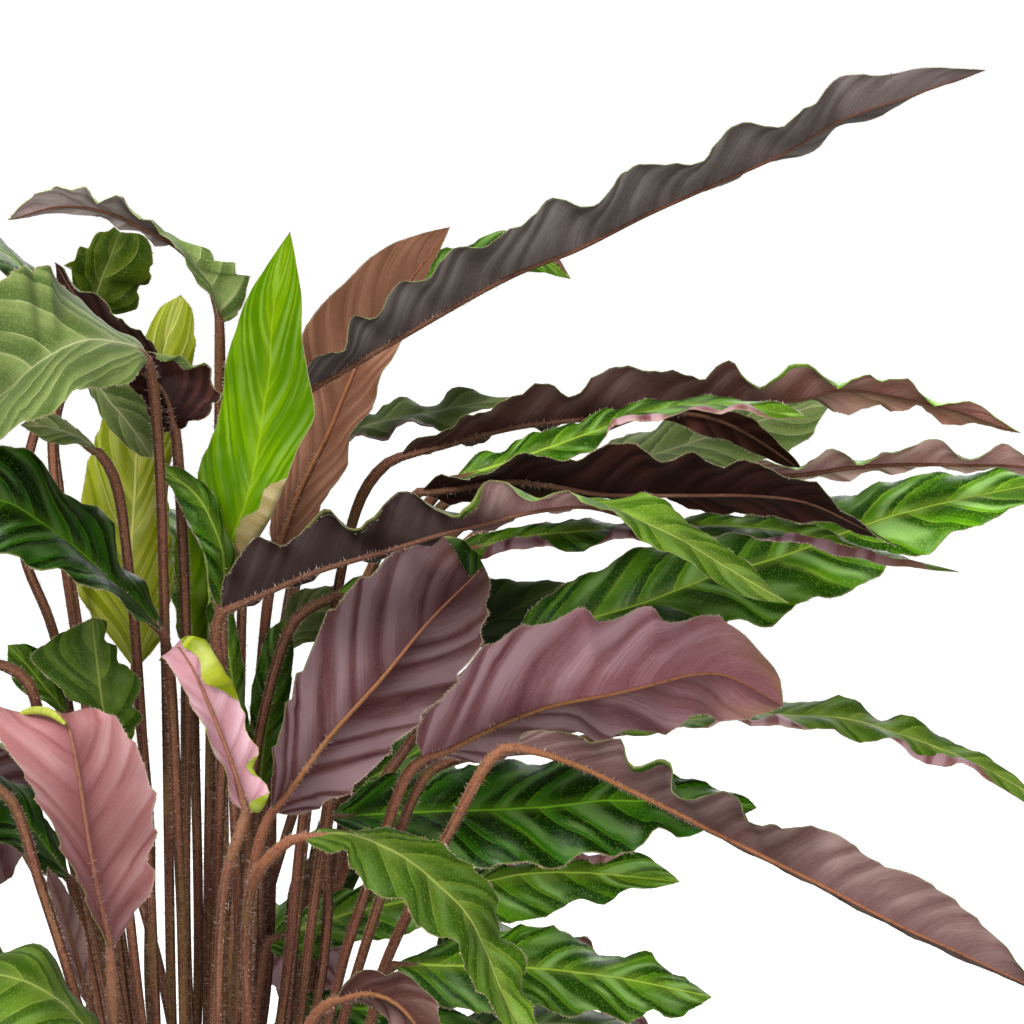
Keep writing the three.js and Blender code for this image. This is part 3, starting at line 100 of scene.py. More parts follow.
# The leaves as the photograph shows them, each from its base to its tip.
# seen: the face in view at the base. half: half the blade's true width in mm.
# lean: 1 when the left margin is nearer than the rib by all that its width allows, -1 when farther.
# stalk: [pixel x, pixel y, depth in mm] from near the blade down to the foot of the stalk.
# rib: the same for the middle rib. left and right: [pixel x, pixel y] along each margin,
# left and right as seen when looking from base to tip. toothed: margins with sharp corners.
# finish and other: the finishes of the face in view and of the other one, where they aren't usual.
# pleats: depth in mm of the folds between side veins. ripple: height in mm of the edge's waves, and
# straight_below: the share of it on the right margin. teeth: reach in mm of the edge's fine teeth.
# spacing: mm between side veins. sweep: how far forward they run. tones: how light the colours are
# painted at even steps from the base to the tip, partly the leaf's own lightness and partly painted
# light and shade. curls: where a margin rolls back over the face in view: side (-1 left, 1 right),
# share of the length where it starts and ends, and its width in mm.
# lip: a rolled edge of the other face, on a fold across the blade, as points with depths.
LEAVES = [
    {"name": "leaf_01_arched_left", "seen": "grey", "half": 21, "lean": 0.8, "other": "charcoal",
     "straight_below": 0.25, "tones_and_shade": (1.05, 1.15, 1.75, 2.0), "toothed": ("left", "right"),
     "stalk": [[219, 450, -4], [218, 620, 0], [214, 1024]],
     "rib": [[219, 318, -10], [211, 287, -14], [196, 266, -18], [176, 245, -22], [139, 225, -26],
      [106, 211, -28], [60, 206, -30], [8, 220, -32]],
     "left": [[212, 300], [203, 285], [190, 268], [175, 251], [161, 233], [152, 217], [141, 217],
      [126, 208], [116, 195], [98, 201], [85, 187], [71, 193], [58, 185], [38, 192], [22, 204]],
     "right": [[224, 322], [232, 319], [242, 309], [246, 297], [245, 292], [249, 275], [237, 275],
      [236, 262], [216, 264], [214, 256], [210, 249], [197, 251], [182, 245], [181, 241],
      [167, 245], [154, 246], [152, 238], [141, 232], [129, 231], [119, 230], [108, 220],
      [99, 216], [78, 214], [63, 213], [46, 214], [30, 217]]},
    {"name": "leaf_02_small_upright", "seen": "green", "half": 22, "lean": 0.5, "finish": "moss",
     "tones_and_shade": (0.82, 0.88), "toothed": ("left", "right"),
     "stalk": [[60, 400, 36], [54, 440, 34], [59, 487, 33], [68, 560, 35], [80, 640, 34],
      [135, 1024]],
     "rib": [[85, 330, 36], [93, 304, 34], [104, 272, 30], [114, 248, 27], [120, 232, 24]],
     "left": [[82, 304], [74, 288], [72, 268], [62, 264], [74, 259], [78, 247], [80, 246],
      [89, 250], [93, 238], [97, 233], [108, 231], [114, 226]],
     "right": [[94, 307], [112, 313], [124, 312], [139, 310], [138, 295], [139, 286], [148, 286],
      [150, 279], [151, 266], [154, 263], [152, 246], [148, 238], [140, 234], [128, 233]]},
    {"name": "leaf_03_sliver", "seen": "maroon", "half": 16, "lean": -1,
     "stalk": [[172, 400, -22], [184, 560, -18], [190, 1024]],
     "rib": [[165, 362, -22], [140, 350, -22], [110, 330, -24], [80, 300, -26], [55, 262, -28]],
     "left": [[150, 372], [120, 360], [90, 335], [62, 300]],
     "right": [[150, 345], [128, 322], [100, 300], [75, 285], [62, 268]]},
    {"name": "leaf_04_broad_left", "seen": "grey", "half": 46, "lean": 1, "pleats": 0.5,
     "ripple": 1.0, "teeth": 1.6, "toothed": ("right",),
     "stalk": [[157, 425, -60], [165, 630, -42], [172, 1024]],
     "rib": [[148, 360, -68], [139, 349, -70], [114, 342, -74], [85, 341, -80], [41, 362, -88],
      [0, 397, -96], [-60, 432, -104], [-122, 472, -112]],
     "left": [[140, 370], [131, 383], [115, 384], [98, 389], [75, 392], [52, 411], [21, 425],
      [0, 437], [-30, 447], [-72, 466], [-102, 480]],
     "right": [[139, 344], [133, 339], [116, 331], [100, 318], [83, 304], [70, 293], [58, 283],
      [53, 273], [50, 265], [36, 268], [32, 271], [25, 265], [17, 270], [0, 281], [-30, 302],
      [-62, 340], [-95, 390], [-116, 440]]},
    {"name": "leaf_05_pleated_maroon", "seen": "maroon", "half": 22, "lean": -0.6, "other": "grey",
     "pleats": 1.7, "tones_and_shade": (0.95, 0.86, 0.86), "toothed": ("right",),
     "curls": [(1, 0.52, 0.8, 5)],
     "stalk": [[186, 640, -28], [186, 1024]],
     "rib": [[176, 430, -36], [170, 405, -38], [160, 385, -40], [140, 372, -42], [118, 362, -44]],
     "left": [[160, 432], [143, 425], [135, 400], [128, 380]],
     "right": [[186, 428], [189, 420], [202, 421], [210, 415], [210, 404], [217, 404], [221, 396],
      [215, 388], [211, 381], [212, 368], [204, 362], [193, 366], [182, 355], [168, 353],
      [150, 352], [134, 352]]},
    {"name": "leaf_06_new_yellow", "seen": "yellow", "half": 26, "lean": 0.4, "other": "beige",
     "stalk_finish": "warm stalk", "pleats": 0.7, "ripple": 0.6, "sweep": 2.2,
     "stalk": [[150, 830, 18], [152, 1024]],
     "rib": [[135, 670, 24], [131, 564, 26], [135, 490, 26], [137, 451, 26], [158, 370, 26],
      [181, 295, 28]],
     "left": [[112, 640], [82, 600], [70, 560], [80, 500], [95, 440], [112, 395], [138, 350],
      [160, 308]],
     "right": [[160, 640], [172, 590], [173, 560], [168, 500], [174, 440], [190, 380], [195, 340],
      [192, 310]]},
    {"name": "leaf_07_hanging", "seen": "grey", "half": 15, "lean": 0.5,
     "stalk": [[60, 372, -24], [30, 450, -22], [20, 520, -22], [26, 562, -22], [55, 638, -18],
      [110, 1024]],
     "rib": [[85, 360, -32], [105, 395, -36], [130, 425, -38], [152, 457, -40]],
     "left": [[100, 365], [128, 385], [150, 415], [155, 440]],
     "right": [[85, 385], [100, 410], [120, 440], [142, 456]]},
    {"name": "leaf_08_narrow", "seen": "green", "half": 13, "lean": 0.6,
     "stalk": [[222, 750, -46], [216, 900, -36], [212, 1024]],
     "rib": [[222, 610, -54], [223, 556, -54], [212, 523, -54], [196, 495, -52], [157, 466, -50]],
     "left": [[214, 600], [206, 560], [190, 525], [172, 490]],
     "right": [[230, 600], [233, 556], [222, 515], [205, 485], [180, 468]]},
    {"name": "leaf_09_glossy_left", "seen": "dark", "half": 32, "lean": 1, "teeth": 0.7,
     "tones_and_shade": (0.8, 0.79, 0.92),
     "stalk": [[180, 880, -48], [184, 1024]],
     "rib": [[163, 633, -72], [142, 610, -76], [114, 585, -82], [82, 554, -90], [41, 523, -100],
      [0, 500, -108], [-50, 502, -116], [-110, 532, -124]],
     "left": [[150, 625], [131, 610], [108, 595], [85, 584], [62, 572], [41, 569], [0, 554],
      [-50, 560], [-90, 560]],
     "right": [[160, 615], [153, 602], [138, 580], [121, 562], [109, 520], [101, 507], [78, 500],
      [54, 486], [33, 451], [0, 447], [-45, 464], [-88, 498]]},
    {"name": "leaf_10_small_left", "seen": "grey", "half": 11, "lean": 1,
     "stalk": [[114, 477, -44], [129, 571, -36], [140, 700, -32], [156, 1024]],
     "rib": [[98, 452, -48], [78, 438, -52], [50, 428, -56], [21, 425, -60]],
     "left": [[80, 446], [60, 442], [44, 440], [30, 432]],
     "right": [[85, 434], [65, 420], [40, 415], [28, 420]]},
    {"name": "leaf_11_new_lime", "seen": "lime", "half": 27, "lean": -0.3, "other": "beige",
     "stalk_finish": "warm stalk", "pleats": 0.9, "ripple": 0.6, "teeth": 0.3, "sweep": 2.6,
     "tones_and_shade": (1.0, 0.98, 0.9, 0.92),
     "curls": [(1, 0.0, 0.3, 9)],
     "stalk": [[224, 850, -26], [222, 1024]],
     "rib": [[222, 566, -40], [247, 499, -42], [255, 466, -42], [265, 401, -42], [270, 370, -42],
      [273, 315, -42], [290, 232, -44]],
     "left": [[208, 530], [198, 495], [200, 464], [210, 442], [221, 409], [225, 369], [236, 328],
      [249, 295], [270, 261]],
     "right": [[245, 552], [270, 520], [284, 485], [300, 445], [315, 414], [308, 375], [302, 338],
      [302, 304], [295, 255]]},
    {"name": "leaf_12_copper", "seen": "copper", "half": 26, "lean": -0.5,
     "stalk_finish": "warm stalk", "pleats": 0.7, "ripple": 1.0, "teeth": 0.3, "sweep": 1.7,
     "tones_and_shade": (0.95, 1.0, 1.08),
     "stalk": [[268, 600, 30], [252, 780, 20], [240, 1024]],
     "rib": [[275, 560, 32], [301, 491, 34], [317, 458, 34], [331, 430, 34], [347, 389, 34],
      [375, 330, 34], [415, 275, 34], [450, 227, 34]],
     "left": [[270, 520], [282, 470], [290, 420], [298, 380], [302, 335], [327, 299], [347, 281],
      [363, 264], [388, 246], [420, 234]],
     "right": [[300, 540], [321, 507], [346, 464], [350, 440], [376, 398], [382, 372], [397, 350],
      [410, 328], [427, 277], [445, 238]]},
    {"name": "leaf_13_longest", "seen": "charcoal", "half": 29, "lean": 1, "pleats": 0.5,
     "straight_below": 0.25, "teeth": 0.5, "tones_and_shade": (0.88, 1.2, 1.18, 1.12),
     "stalk": [[272, 450, -9], [246, 560, 1], [240, 700, 4], [234, 1024]],
     "rib": [[292, 402, -14], [312, 388, -16], [410, 330, -22], [512, 274, -28], [577, 248, -32],
      [643, 215, -36], [708, 186, -40], [789, 150, -44], [838, 121, -46], [904, 98, -50],
      [985, 70, -54]],
     "left": [[305, 372], [321, 354], [344, 346], [353, 318], [376, 315], [402, 281], [427, 277],
      [456, 250], [484, 244], [512, 232], [551, 201], [590, 204], [643, 163], [688, 166],
      [744, 123], [788, 124], [842, 77], [887, 75], [920, 68]],
     "right": [[318, 384], [410, 324], [512, 268], [600, 233], [680, 197], [737, 180], [747, 170],
      [816, 149], [838, 127], [881, 116], [914, 96], [960, 80]]},
    {"name": "leaf_14_behind_longest", "seen": "green", "half": 17, "lean": -0.8,
     "curls": [(-1, 0.8, 0.995, 12)],
     "stalk": [[330, 450, 66], [302, 560, 58], [272, 700, 44], [250, 1024]],
     "rib": [[352, 356, 70], [400, 306, 68], [450, 274, 66], [505, 250, 64], [545, 260, 62],
      [571, 279, 60]],
     "left": [[374, 318], [415, 280], [442, 252], [475, 243], [506, 231], [550, 252]],
     "right": [[380, 334], [440, 304], [500, 274], [540, 273]]},
    {"name": "leaf_15_grey_wavy", "seen": "grey", "half": 16, "lean": -1, "other": "purple",
     "ripple": 2.6, "tones_and_shade": (0.75, 0.8),
     "curls": [(1, 0.1, 0.6, 3)],
     "stalk": [[310, 500, 76], [292, 580, 66], [275, 700, 52], [262, 1024]],
     "rib": [[328, 440, 80], [360, 428, 78], [400, 418, 74], [455, 408, 70], [510, 397, 66]],
     "left": [[335, 425], [364, 411], [378, 415], [393, 405], [409, 398], [424, 404], [438, 403],
      [449, 394], [464, 388], [482, 392], [495, 398]],
     "right": [[345, 444], [370, 436], [382, 437], [394, 434], [406, 427], [418, 425], [431, 424],
      [446, 427], [480, 412]]},
    {"name": "leaf_16_purple_wavy", "seen": "purple", "half": 25, "lean": 1, "finish": "wine",
     "pleats": 0.5, "ripple": 2.8, "spacing": 22.0, "tones_and_shade": (0.8, 0.86, 0.95, 1.7, 1.8),
     "curls": [(-1, 0.55, 0.75, 2)],
     "stalk": [[385, 465, -4], [360, 500, 0], [318, 720, 12], [286, 1024]],
     "rib": [[400, 457, -6], [440, 445, -8], [512, 426, -10], [610, 415, -12], [708, 405, -12],
      [806, 398, -12], [838, 389, -12], [936, 405, -12], [1021, 433, -12]],
     "left": [[407, 446], [417, 438], [433, 440], [446, 431], [465, 411], [485, 415], [497, 410],
      [513, 395], [536, 385], [559, 391], [571, 392], [602, 376], [633, 365], [660, 370],
      [688, 379], [724, 365], [760, 382], [806, 366], [845, 384], [887, 375], [927, 398],
      [966, 402]],
     "right": [[440, 449], [512, 430], [610, 419], [708, 409], [806, 402], [838, 408], [871, 411],
      [904, 406], [936, 418], [980, 426]]},
    {"name": "leaf_17_twisting", "seen": "green", "half": 15, "lean": -1, "tones_and_shade": (1.1,),
     "curls": [(1, 0.45, 0.62, 8), (1, 0.68, 0.9, 5)],
     "stalk": [[435, 495, -42], [370, 600, -30], [322, 720, -20], [286, 1024, -18]],
     "rib": [[453, 480, -46], [500, 465, -50], [550, 448, -52], [600, 430, -52], [650, 412, -52],
      [720, 405, -52], [809, 420, -52]],
     "left": [[470, 462], [484, 451], [502, 451], [530, 436], [561, 423], [582, 422], [610, 408],
      [639, 403], [677, 399], [742, 399], [785, 405]],
     "right": [[490, 482], [541, 468], [567, 463], [592, 448], [620, 427], [680, 414], [733, 411],
      [780, 418]]},
    {"name": "leaf_18_pale_broad", "seen": "grey", "half": 28, "lean": -1, "pleats": 1.5,
     "tones_and_shade": (0.8, 0.85, 0.95, 1.15),
     "stalk": [[530, 485, 62], [480, 512, 60], [420, 570, 58], [350, 700, 54], [296, 1024]],
     "rib": [[560, 475, 66], [610, 467, 68], [665, 452, 72], [740, 427, 74], [832, 402, 76]],
     "left": [[600, 450], [645, 430], [690, 410], [740, 402], [790, 398]],
     "right": [[600, 485], [660, 480], [710, 470], [760, 463], [793, 447], [810, 438], [820, 420]]},
    {"name": "leaf_19_dark_small", "seen": "maroon", "half": 9, "lean": 1,
     "stalk": [[500, 466, 30], [440, 508, 32], [372, 612, 34], [352, 750, 46], [338, 850, 38],
      [302, 1024]],
     "rib": [[634, 416, 24], [664, 411, 23], [695, 413, 22], [730, 424, 20], [768, 446, 18],
      [805, 473, 16]],
     "left": [[655, 408], [680, 404], [705, 405], [735, 412], [768, 432], [790, 454]],
     "right": [[655, 420], [680, 424], [705, 436], [730, 442], [765, 458], [790, 468]]},
    {"name": "leaf_20_far_right", "seen": "mauve", "half": 16, "lean": 1, "tones_and_shade": (1.35, 1.45),
     "stalk": [[650, 475, 10], [560, 490, 10], [480, 532, 10], [400, 620, 12], [330, 800, 14],
      [296, 1024]],
     "rib": [[715, 474, 8], [799, 473, 4], [850, 466, 0], [904, 463, -4], [966, 464, -8],
      [1024, 466, -10], [1100, 480, -14]],
     "left": [[770, 462], [799, 466], [835, 451], [865, 462], [900, 449], [933, 441], [966, 457],
      [1002, 447], [1040, 460], [1070, 468]],
     "right": [[770, 478], [830, 480], [904, 470], [1024, 472], [1070, 480]]},
    {"name": "leaf_21_maroon", "seen": "maroon", "half": 26, "lean": 1, "pleats": 0.8,
     "tones_and_shade": (0.88, 0.76, 0.88),
     "stalk": [[405, 506, -62], [350, 620, -46], [312, 760, -36], [280, 1024]],
     "rib": [[420, 492, -66], [440, 490, -68], [502, 480, -70], [550, 484, -72], [603, 493, -72],
      [696, 494, -72], [758, 495, -72], [807, 502, -72], [856, 524, -72], [898, 547, -72]],
     "left": [[440, 476], [453, 480], [478, 472], [502, 469], [523, 448], [541, 459], [567, 461],
      [603, 446], [633, 445], [651, 454], [670, 461], [693, 453], [722, 466], [751, 463],
      [807, 482], [828, 495], [853, 518], [880, 538]],
     "right": [[450, 502], [500, 506], [560, 506], [620, 500], [660, 498], [700, 508], [722, 518],
      [751, 511], [782, 521], [812, 520], [845, 530], [877, 537]]},
    {"name": "leaf_22_front_twisted", "seen": "mauve", "half": 23, "lean": 1, "other": "olive",
     "pleats": 0.5, "ripple": 2.2, "tones_and_shade": (0.42, 0.36, 0.46, 1.4, 1.0, 0.96),
     "curls": [(-1, 0.2, 0.34, 3), (-1, 0.43, 0.52, 3)],
     "stalk": [[216, 628, -100], [228, 720, -88], [236, 850, -66], [238, 1024]],
     "rib": [[222, 612, -102], [265, 592, -106], [314, 571, -110], [363, 556, -112],
      [404, 544, -114], [441, 533, -114], [489, 521, -114], [538, 510, -114], [587, 506, -114],
      [630, 518, -116], [680, 540, -118], [730, 570, -120], [788, 603, -122]],
     "left": [[222, 585], [240, 556], [257, 538], [286, 544], [306, 525], [326, 508], [347, 525],
      [368, 523], [396, 494], [409, 490], [428, 507], [458, 510], [489, 484], [509, 485],
      [522, 495], [560, 496], [590, 500], [622, 524], [660, 546], [705, 575], [750, 598]],
     "right": [[245, 606], [300, 581], [363, 561], [441, 538], [538, 514], [587, 503], [611, 497],
      [659, 499], [684, 513], [701, 534], [735, 552], [758, 575], [775, 592]]},
    {"name": "leaf_23_narrow_lobed", "seen": "green", "half": 12, "lean": -1, "tones_and_shade": (0.75, 0.72),
     "curls": [(1, 0.06, 0.2, 8), (1, 0.3, 0.5, 11), (1, 0.6, 0.94, 7)],
     "stalk": [[400, 602, -36], [342, 720, -34], [326, 820, -34], [299, 1024]],
     "rib": [[453, 552, -40], [500, 542, -40], [560, 533, -40], [640, 530, -40], [720, 526, -40],
      [800, 535, -40], [880, 555, -40], [959, 572, -40]],
     "left": [[465, 540], [479, 534], [520, 528], [561, 520], [620, 522], [690, 516], [758, 516],
      [810, 525], [860, 545], [920, 562]],
     "right": [[468, 561], [505, 552], [541, 546], [567, 552], [600, 544], [636, 540], [700, 536],
      [748, 536], [800, 545], [860, 560], [920, 569]]},
    {"name": "leaf_24_bright_broad", "seen": "green", "half": 34, "lean": -1, "pleats": 1.0,
     "spacing": 21.0, "tones_and_shade": (0.85, 0.88, 1.1, 1.45, 1.45),
     "stalk": [[480, 664, 22], [440, 702, 14], [400, 757, 4], [382, 782, 2], [334, 900, 12],
      [312, 1024]],
     "rib": [[505, 650, 28], [560, 628, 30], [640, 605, 30], [684, 588, 30], [717, 575, 28],
      [758, 564, 26], [799, 551, 24], [869, 524, 20], [916, 510, 18], [1024, 487, 12],
      [1090, 478, 8]],
     "left": [[528, 615], [553, 591], [587, 575], [624, 555], [662, 545], [700, 535], [765, 512],
      [831, 497], [853, 493], [893, 480], [959, 473], [1024, 472], [1060, 474]],
     "right": [[540, 655], [600, 648], [660, 630], [700, 632], [732, 621], [766, 626], [781, 620],
      [813, 595], [836, 598], [877, 575], [892, 560], [933, 551], [956, 532], [1002, 515],
      [1050, 495]]},
    {"name": "leaf_25_olive_behind", "seen": "olive", "half": 20, "lean": -1,
     "tones_and_shade": (0.34, 0.37, 0.62),
     "stalk": [[420, 680, 84], [362, 780, 80], [304, 1024]],
     "rib": [[440, 655, 86], [487, 625, 86], [522, 606, 86], [566, 583, 86]],
     "left": [[455, 610], [479, 583], [520, 580], [545, 580]],
     "right": [[480, 645], [510, 640], [540, 622], [560, 600]]},
    {"name": "leaf_26_purple_broad", "seen": "purple", "half": 34, "lean": 0.5,
     "stalk_finish": "warm stalk", "pleats": 0.7, "ripple": 1.2, "teeth": 3.2, "spacing": 20.0,
     "tones_and_shade": (0.76, 0.78, 0.66, 0.64),
     "curls": [(-1, 0.88, 0.995, 12)],
     "stalk": [[262, 835, -80], [252, 880, -74], [247, 960, -60], [246, 1024]],
     "rib": [[272, 812, -82], [300, 775, -84], [330, 735, -84], [380, 680, -84], [430, 620, -84],
      [484, 566, -84]],
     "left": [[272, 790], [276, 765], [274, 742], [283, 720], [300, 670], [315, 640], [345, 590],
      [372, 572], [400, 548], [440, 535], [470, 545]],
     "right": [[300, 815], [335, 798], [375, 770], [395, 745], [420, 720], [438, 700], [451, 684],
      [470, 664], [481, 645], [484, 620], [491, 594], [489, 578]]},
    {"name": "leaf_27_purple_right", "seen": "purple", "half": 40, "lean": 1, "finish": "plum",
     "stalk_finish": "warm stalk", "pleats": 0.9, "ripple": 1.2, "teeth": 2.4, "spacing": 25.0,
     "tones_and_shade": (0.98, 1.12, 1.15),
     "stalk": [[410, 770, -52], [396, 800, -54], [380, 850, -54], [347, 948, -46], [327, 1024]],
     "rib": [[425, 758, -50], [440, 753, -50], [473, 736, -48], [508, 720, -46], [554, 704, -44],
      [603, 695, -42], [652, 684, -40], [693, 674, -38], [725, 675, -38], [783, 706, -38]],
     "left": [[416, 740], [420, 722], [440, 699], [462, 672], [481, 650], [505, 636], [530, 624],
      [553, 619], [582, 608], [597, 620], [622, 613], [649, 605], [665, 620], [702, 615],
      [728, 622], [764, 656], [776, 671], [782, 690]],
     "right": [[440, 759], [481, 762], [530, 750], [580, 733], [603, 741], [622, 733], [655, 731],
      [671, 730], [707, 713], [727, 722], [768, 712]]},
    {"name": "leaf_28_mauve_drooping", "seen": "mauve", "half": 25, "lean": 1,
     "stalk_finish": "warm stalk", "pleats": 0.35, "straight_below": 0.2,
     "tones_and_shade": (0.85, 0.92, 0.92),
     "curls": [(-1, 0.18, 0.3, 3)],
     "stalk": [[502, 749, -100], [489, 761, -100], [458, 816, -96], [383, 970, -72], [370, 1024]],
     "rib": [[518, 748, -102], [546, 753, -104], [579, 764, -106], [626, 786, -110],
      [685, 815, -114], [708, 827, -116], [806, 876, -120], [904, 927, -126], [946, 946, -128],
      [1024, 982, -132], [1080, 1005, -136]],
     "left": [[522, 734], [550, 731], [574, 734], [598, 741], [620, 742], [633, 763], [669, 763],
      [675, 790], [688, 799], [710, 797], [737, 796], [752, 825], [775, 827], [796, 825],
      [838, 834], [858, 848], [878, 863], [920, 878], [960, 905], [992, 933], [1024, 969],
      [1060, 992]],
     "right": [[550, 757], [626, 791], [708, 833], [806, 882], [904, 933], [1010, 980]]},
    {"name": "leaf_29_far_narrow", "seen": "green", "half": 14, "lean": -1, "finish": "olive",
     "curls": [(1, 0.2, 0.42, 7), (1, 0.6, 0.85, 5)],
     "stalk": [[560, 746, 4], [500, 752, -6], [455, 760, -18], [427, 775, -30], [402, 825, -46],
      [380, 899, -56], [357, 972, -52], [342, 1024]],
     "rib": [[610, 733, 10], [680, 722, 14], [745, 715, 16], [790, 716, 16], [850, 720, 14],
      [900, 735, 12], [960, 757, 10], [1024, 790, 6], [1060, 812, 4]],
     "left": [[640, 720], [700, 708], [760, 702], [790, 705], [824, 698], [844, 696], [875, 717],
      [915, 718], [940, 735], [961, 749], [983, 753], [1024, 785]],
     "right": [[640, 735], [700, 726], [745, 722], [790, 730], [829, 726], [851, 743], [883, 738],
      [905, 750], [927, 762], [944, 768], [964, 765], [1013, 796], [1045, 812]]},
    {"name": "leaf_30_dark_right", "seen": "dark", "half": 34, "lean": -1, "pleats": 1.3,
     "teeth": 2.0, "spacing": 18.0, "tones_and_shade": (0.95, 0.92, 0.94),
     "stalk": [[326, 850, -20], [328, 900, -23], [324, 960, -24], [314, 1024]],
     "rib": [[330, 818, -18], [375, 815, -18], [440, 812, -18], [495, 810, -20], [550, 807, -20],
      [605, 801, -20], [651, 802, -20], [757, 808, -20]],
     "left": [[350, 795], [385, 778], [430, 768], [489, 763], [540, 761], [600, 763], [650, 772],
      [690, 781], [730, 790], [748, 799]],
     "right": [[360, 836], [400, 848], [430, 850], [458, 858], [482, 871], [521, 860], [546, 870],
      [583, 854], [611, 856], [638, 847], [657, 830], [679, 837], [725, 822]]},
    {"name": "leaf_31_behind_purple", "seen": "green", "half": 20, "lean": -1,
     "stalk": [[322, 828, 22], [308, 900, 18], [290, 1024]],
     "rib": [[349, 790, 26], [391, 768, 30], [430, 745, 34], [490, 715, 36]],
     "left": [[350, 770], [382, 745], [425, 720], [465, 708]],
     "right": [[372, 795], [410, 775], [450, 752], [478, 730]]},
    {"name": "leaf_32_long_low", "seen": "green", "half": 25, "lean": -0.5, "tones_and_shade": (1.0, 1.25),
     "curls": [(-1, 0.55, 0.85, 6)],
     "stalk": [[262, 962, -4], [256, 1024]],
     "rib": [[268, 940, -4], [298, 930, -4], [355, 912, -4], [402, 902, -5], [469, 886, -8],
      [523, 874, -10], [587, 873, -12], [680, 882, -14]],
     "left": [[282, 926], [301, 912], [320, 898], [338, 889], [362, 888], [400, 880], [450, 868],
      [490, 866], [530, 858], [581, 854], [610, 856], [636, 852], [655, 862], [673, 875]],
     "right": [[275, 955], [304, 959], [321, 958], [335, 946], [380, 940], [420, 930], [480, 922],
      [520, 922], [550, 915], [580, 898], [603, 905], [627, 889], [655, 888]]},
    {"name": "leaf_33_bottom_right", "seen": "green", "half": 27, "lean": -1, "pleats": 1.2,
     "teeth": 2.4,
     "stalk": [[384, 974, -37], [374, 1010, -40], [364, 1060]],
     "rib": [[395, 965, -34], [420, 965, -36], [456, 966, -38], [523, 968, -40], [569, 972, -40],
      [624, 979, -42], [679, 990, -44], [712, 997, -46]],
     "left": [[420, 950], [445, 944], [470, 938], [502, 931], [530, 926], [558, 927], [576, 942],
      [600, 952], [624, 955], [644, 955], [679, 975]],
     "right": [[406, 985], [424, 997], [445, 1008], [500, 1012], [540, 1008], [572, 1016],
      [605, 1012], [633, 1021], [655, 1011], [668, 1019], [693, 1009]]},
    {"name": "leaf_34_front_olive", "seen": "olive", "half": 26, "lean": -0.7, "other": "purple",
     "stalk_finish": "warm stalk", "teeth": 2.6, "tones_and_shade": (0.84, 0.9, 1.2),
     "stalk": [[291, 840, -128], [273, 854, -124], [257, 874, -118], [249, 899, -108],
      [246, 960, -88], [248, 1024]],
     "rib": [[304, 837, -130], [345, 834, -134], [400, 855, -138], [440, 887, -142],
      [467, 915, -144], [486, 953, -146], [504, 998, -148], [520, 1030, -150], [530, 1062, -150]],
     "left": [[324, 826], [348, 832], [371, 831], [390, 828], [407, 832], [432, 842], [456, 854],
      [478, 872], [495, 895], [502, 933], [519, 950], [524, 990], [533, 1012], [537, 1042]],
     "right": [[314, 848], [330, 852], [347, 848], [350, 866], [375, 894], [403, 899], [406, 912],
      [420, 926], [437, 936], [456, 944], [466, 960], [473, 985], [490, 1006], [504, 1023],
      [520, 1050]]},
    {"name": "leaf_35_pale_inner", "seen": "olive", "half": 12, "lean": 0.2, "tones_and_shade": (0.66,),
     "stalk": [[294, 975, 46], [284, 1024]],
     "rib": [[300, 940, 48], [322, 900, 50], [342, 862, 52], [362, 835, 54]],
     "left": [[286, 915], [292, 880], [318, 850]],
     "right": [[330, 922], [352, 892], [364, 860]]},
    {"name": "leaf_36_purple_low", "seen": "purple", "half": 18, "lean": 0.8, "finish": "wine",
     "stalk_finish": "warm stalk", "tones_and_shade": (1.02,),
     "stalk": [[320, 1010, -96], [300, 1045, -86], [284, 1100]],
     "rib": [[336, 1000, -102], [363, 992, -108], [388, 997, -114], [410, 1015, -120],
      [430, 1050, -126], [440, 1090, -132]],
     "left": [[345, 984], [362, 972], [385, 975], [401, 968], [422, 988], [442, 1020],
      [449, 1060]],
     "right": [[355, 1005], [385, 1013], [402, 1040], [420, 1076]]},
    {"name": "leaf_37_dark_low", "seen": "dark", "half": 20, "lean": -0.4,
     "stalk": [[277, 1030, -8], [268, 1090]],
     "rib": [[292, 1008, -8], [340, 1008, -8], [396, 1013, -8], [460, 1030, -8], [520, 1060, -10]],
     "left": [[312, 992], [350, 988], [400, 995], [460, 1012], [500, 1040]],
     "right": [[320, 1024], [370, 1034], [430, 1056], [480, 1068]]},
    {"name": "leaf_38_low_right", "seen": "green", "half": 24, "lean": -1, "tones_and_shade": (0.8,),
     "stalk": [[380, 1080, 22], [332, 1150]],
     "rib": [[402, 1058, 24], [460, 1035, 24], [540, 1024, 22], [620, 1032, 20], [705, 1062, 16]],
     "left": [[430, 1030], [480, 1010], [540, 1002], [600, 1010], [660, 1036]],
     "right": [[430, 1065], [500, 1055], [580, 1050], [650, 1064]]},
    {"name": "leaf_39_pink_front", "seen": "pink", "half": 36, "lean": 0.4, "other": "yellow",
     "stalk_finish": "rose stalk", "pleats": 0.7, "ripple": 0.8, "teeth": 2.4, "spacing": 19.0,
     "tones_and_shade": (0.75, 0.86, 1.02),
     "lip": [[20, 714, -109], [31, 711, -112], [43, 711, -116], [54, 715, -120], [65, 724, -122]],
     "stalk": [[114, 1024, -86], [126, 1120]],
     "rib": [[110, 952, -98], [98, 899, -106], [86, 828, -114], [77, 768, -118], [66, 722, -117],
      [52, 712, -106], [40, 730, -96], [30, 776, -92]],
     "left": [[100, 930], [82, 890], [65, 854], [36, 796], [14, 760], [-4, 730], [-6, 706],
      [4, 712], [16, 750]],
     "right": [[129, 921], [143, 905], [152, 892], [153, 874], [149, 857], [157, 838], [152, 811],
      [155, 800], [145, 767], [133, 742], [112, 716], [86, 710], [64, 722], [46, 768]]},
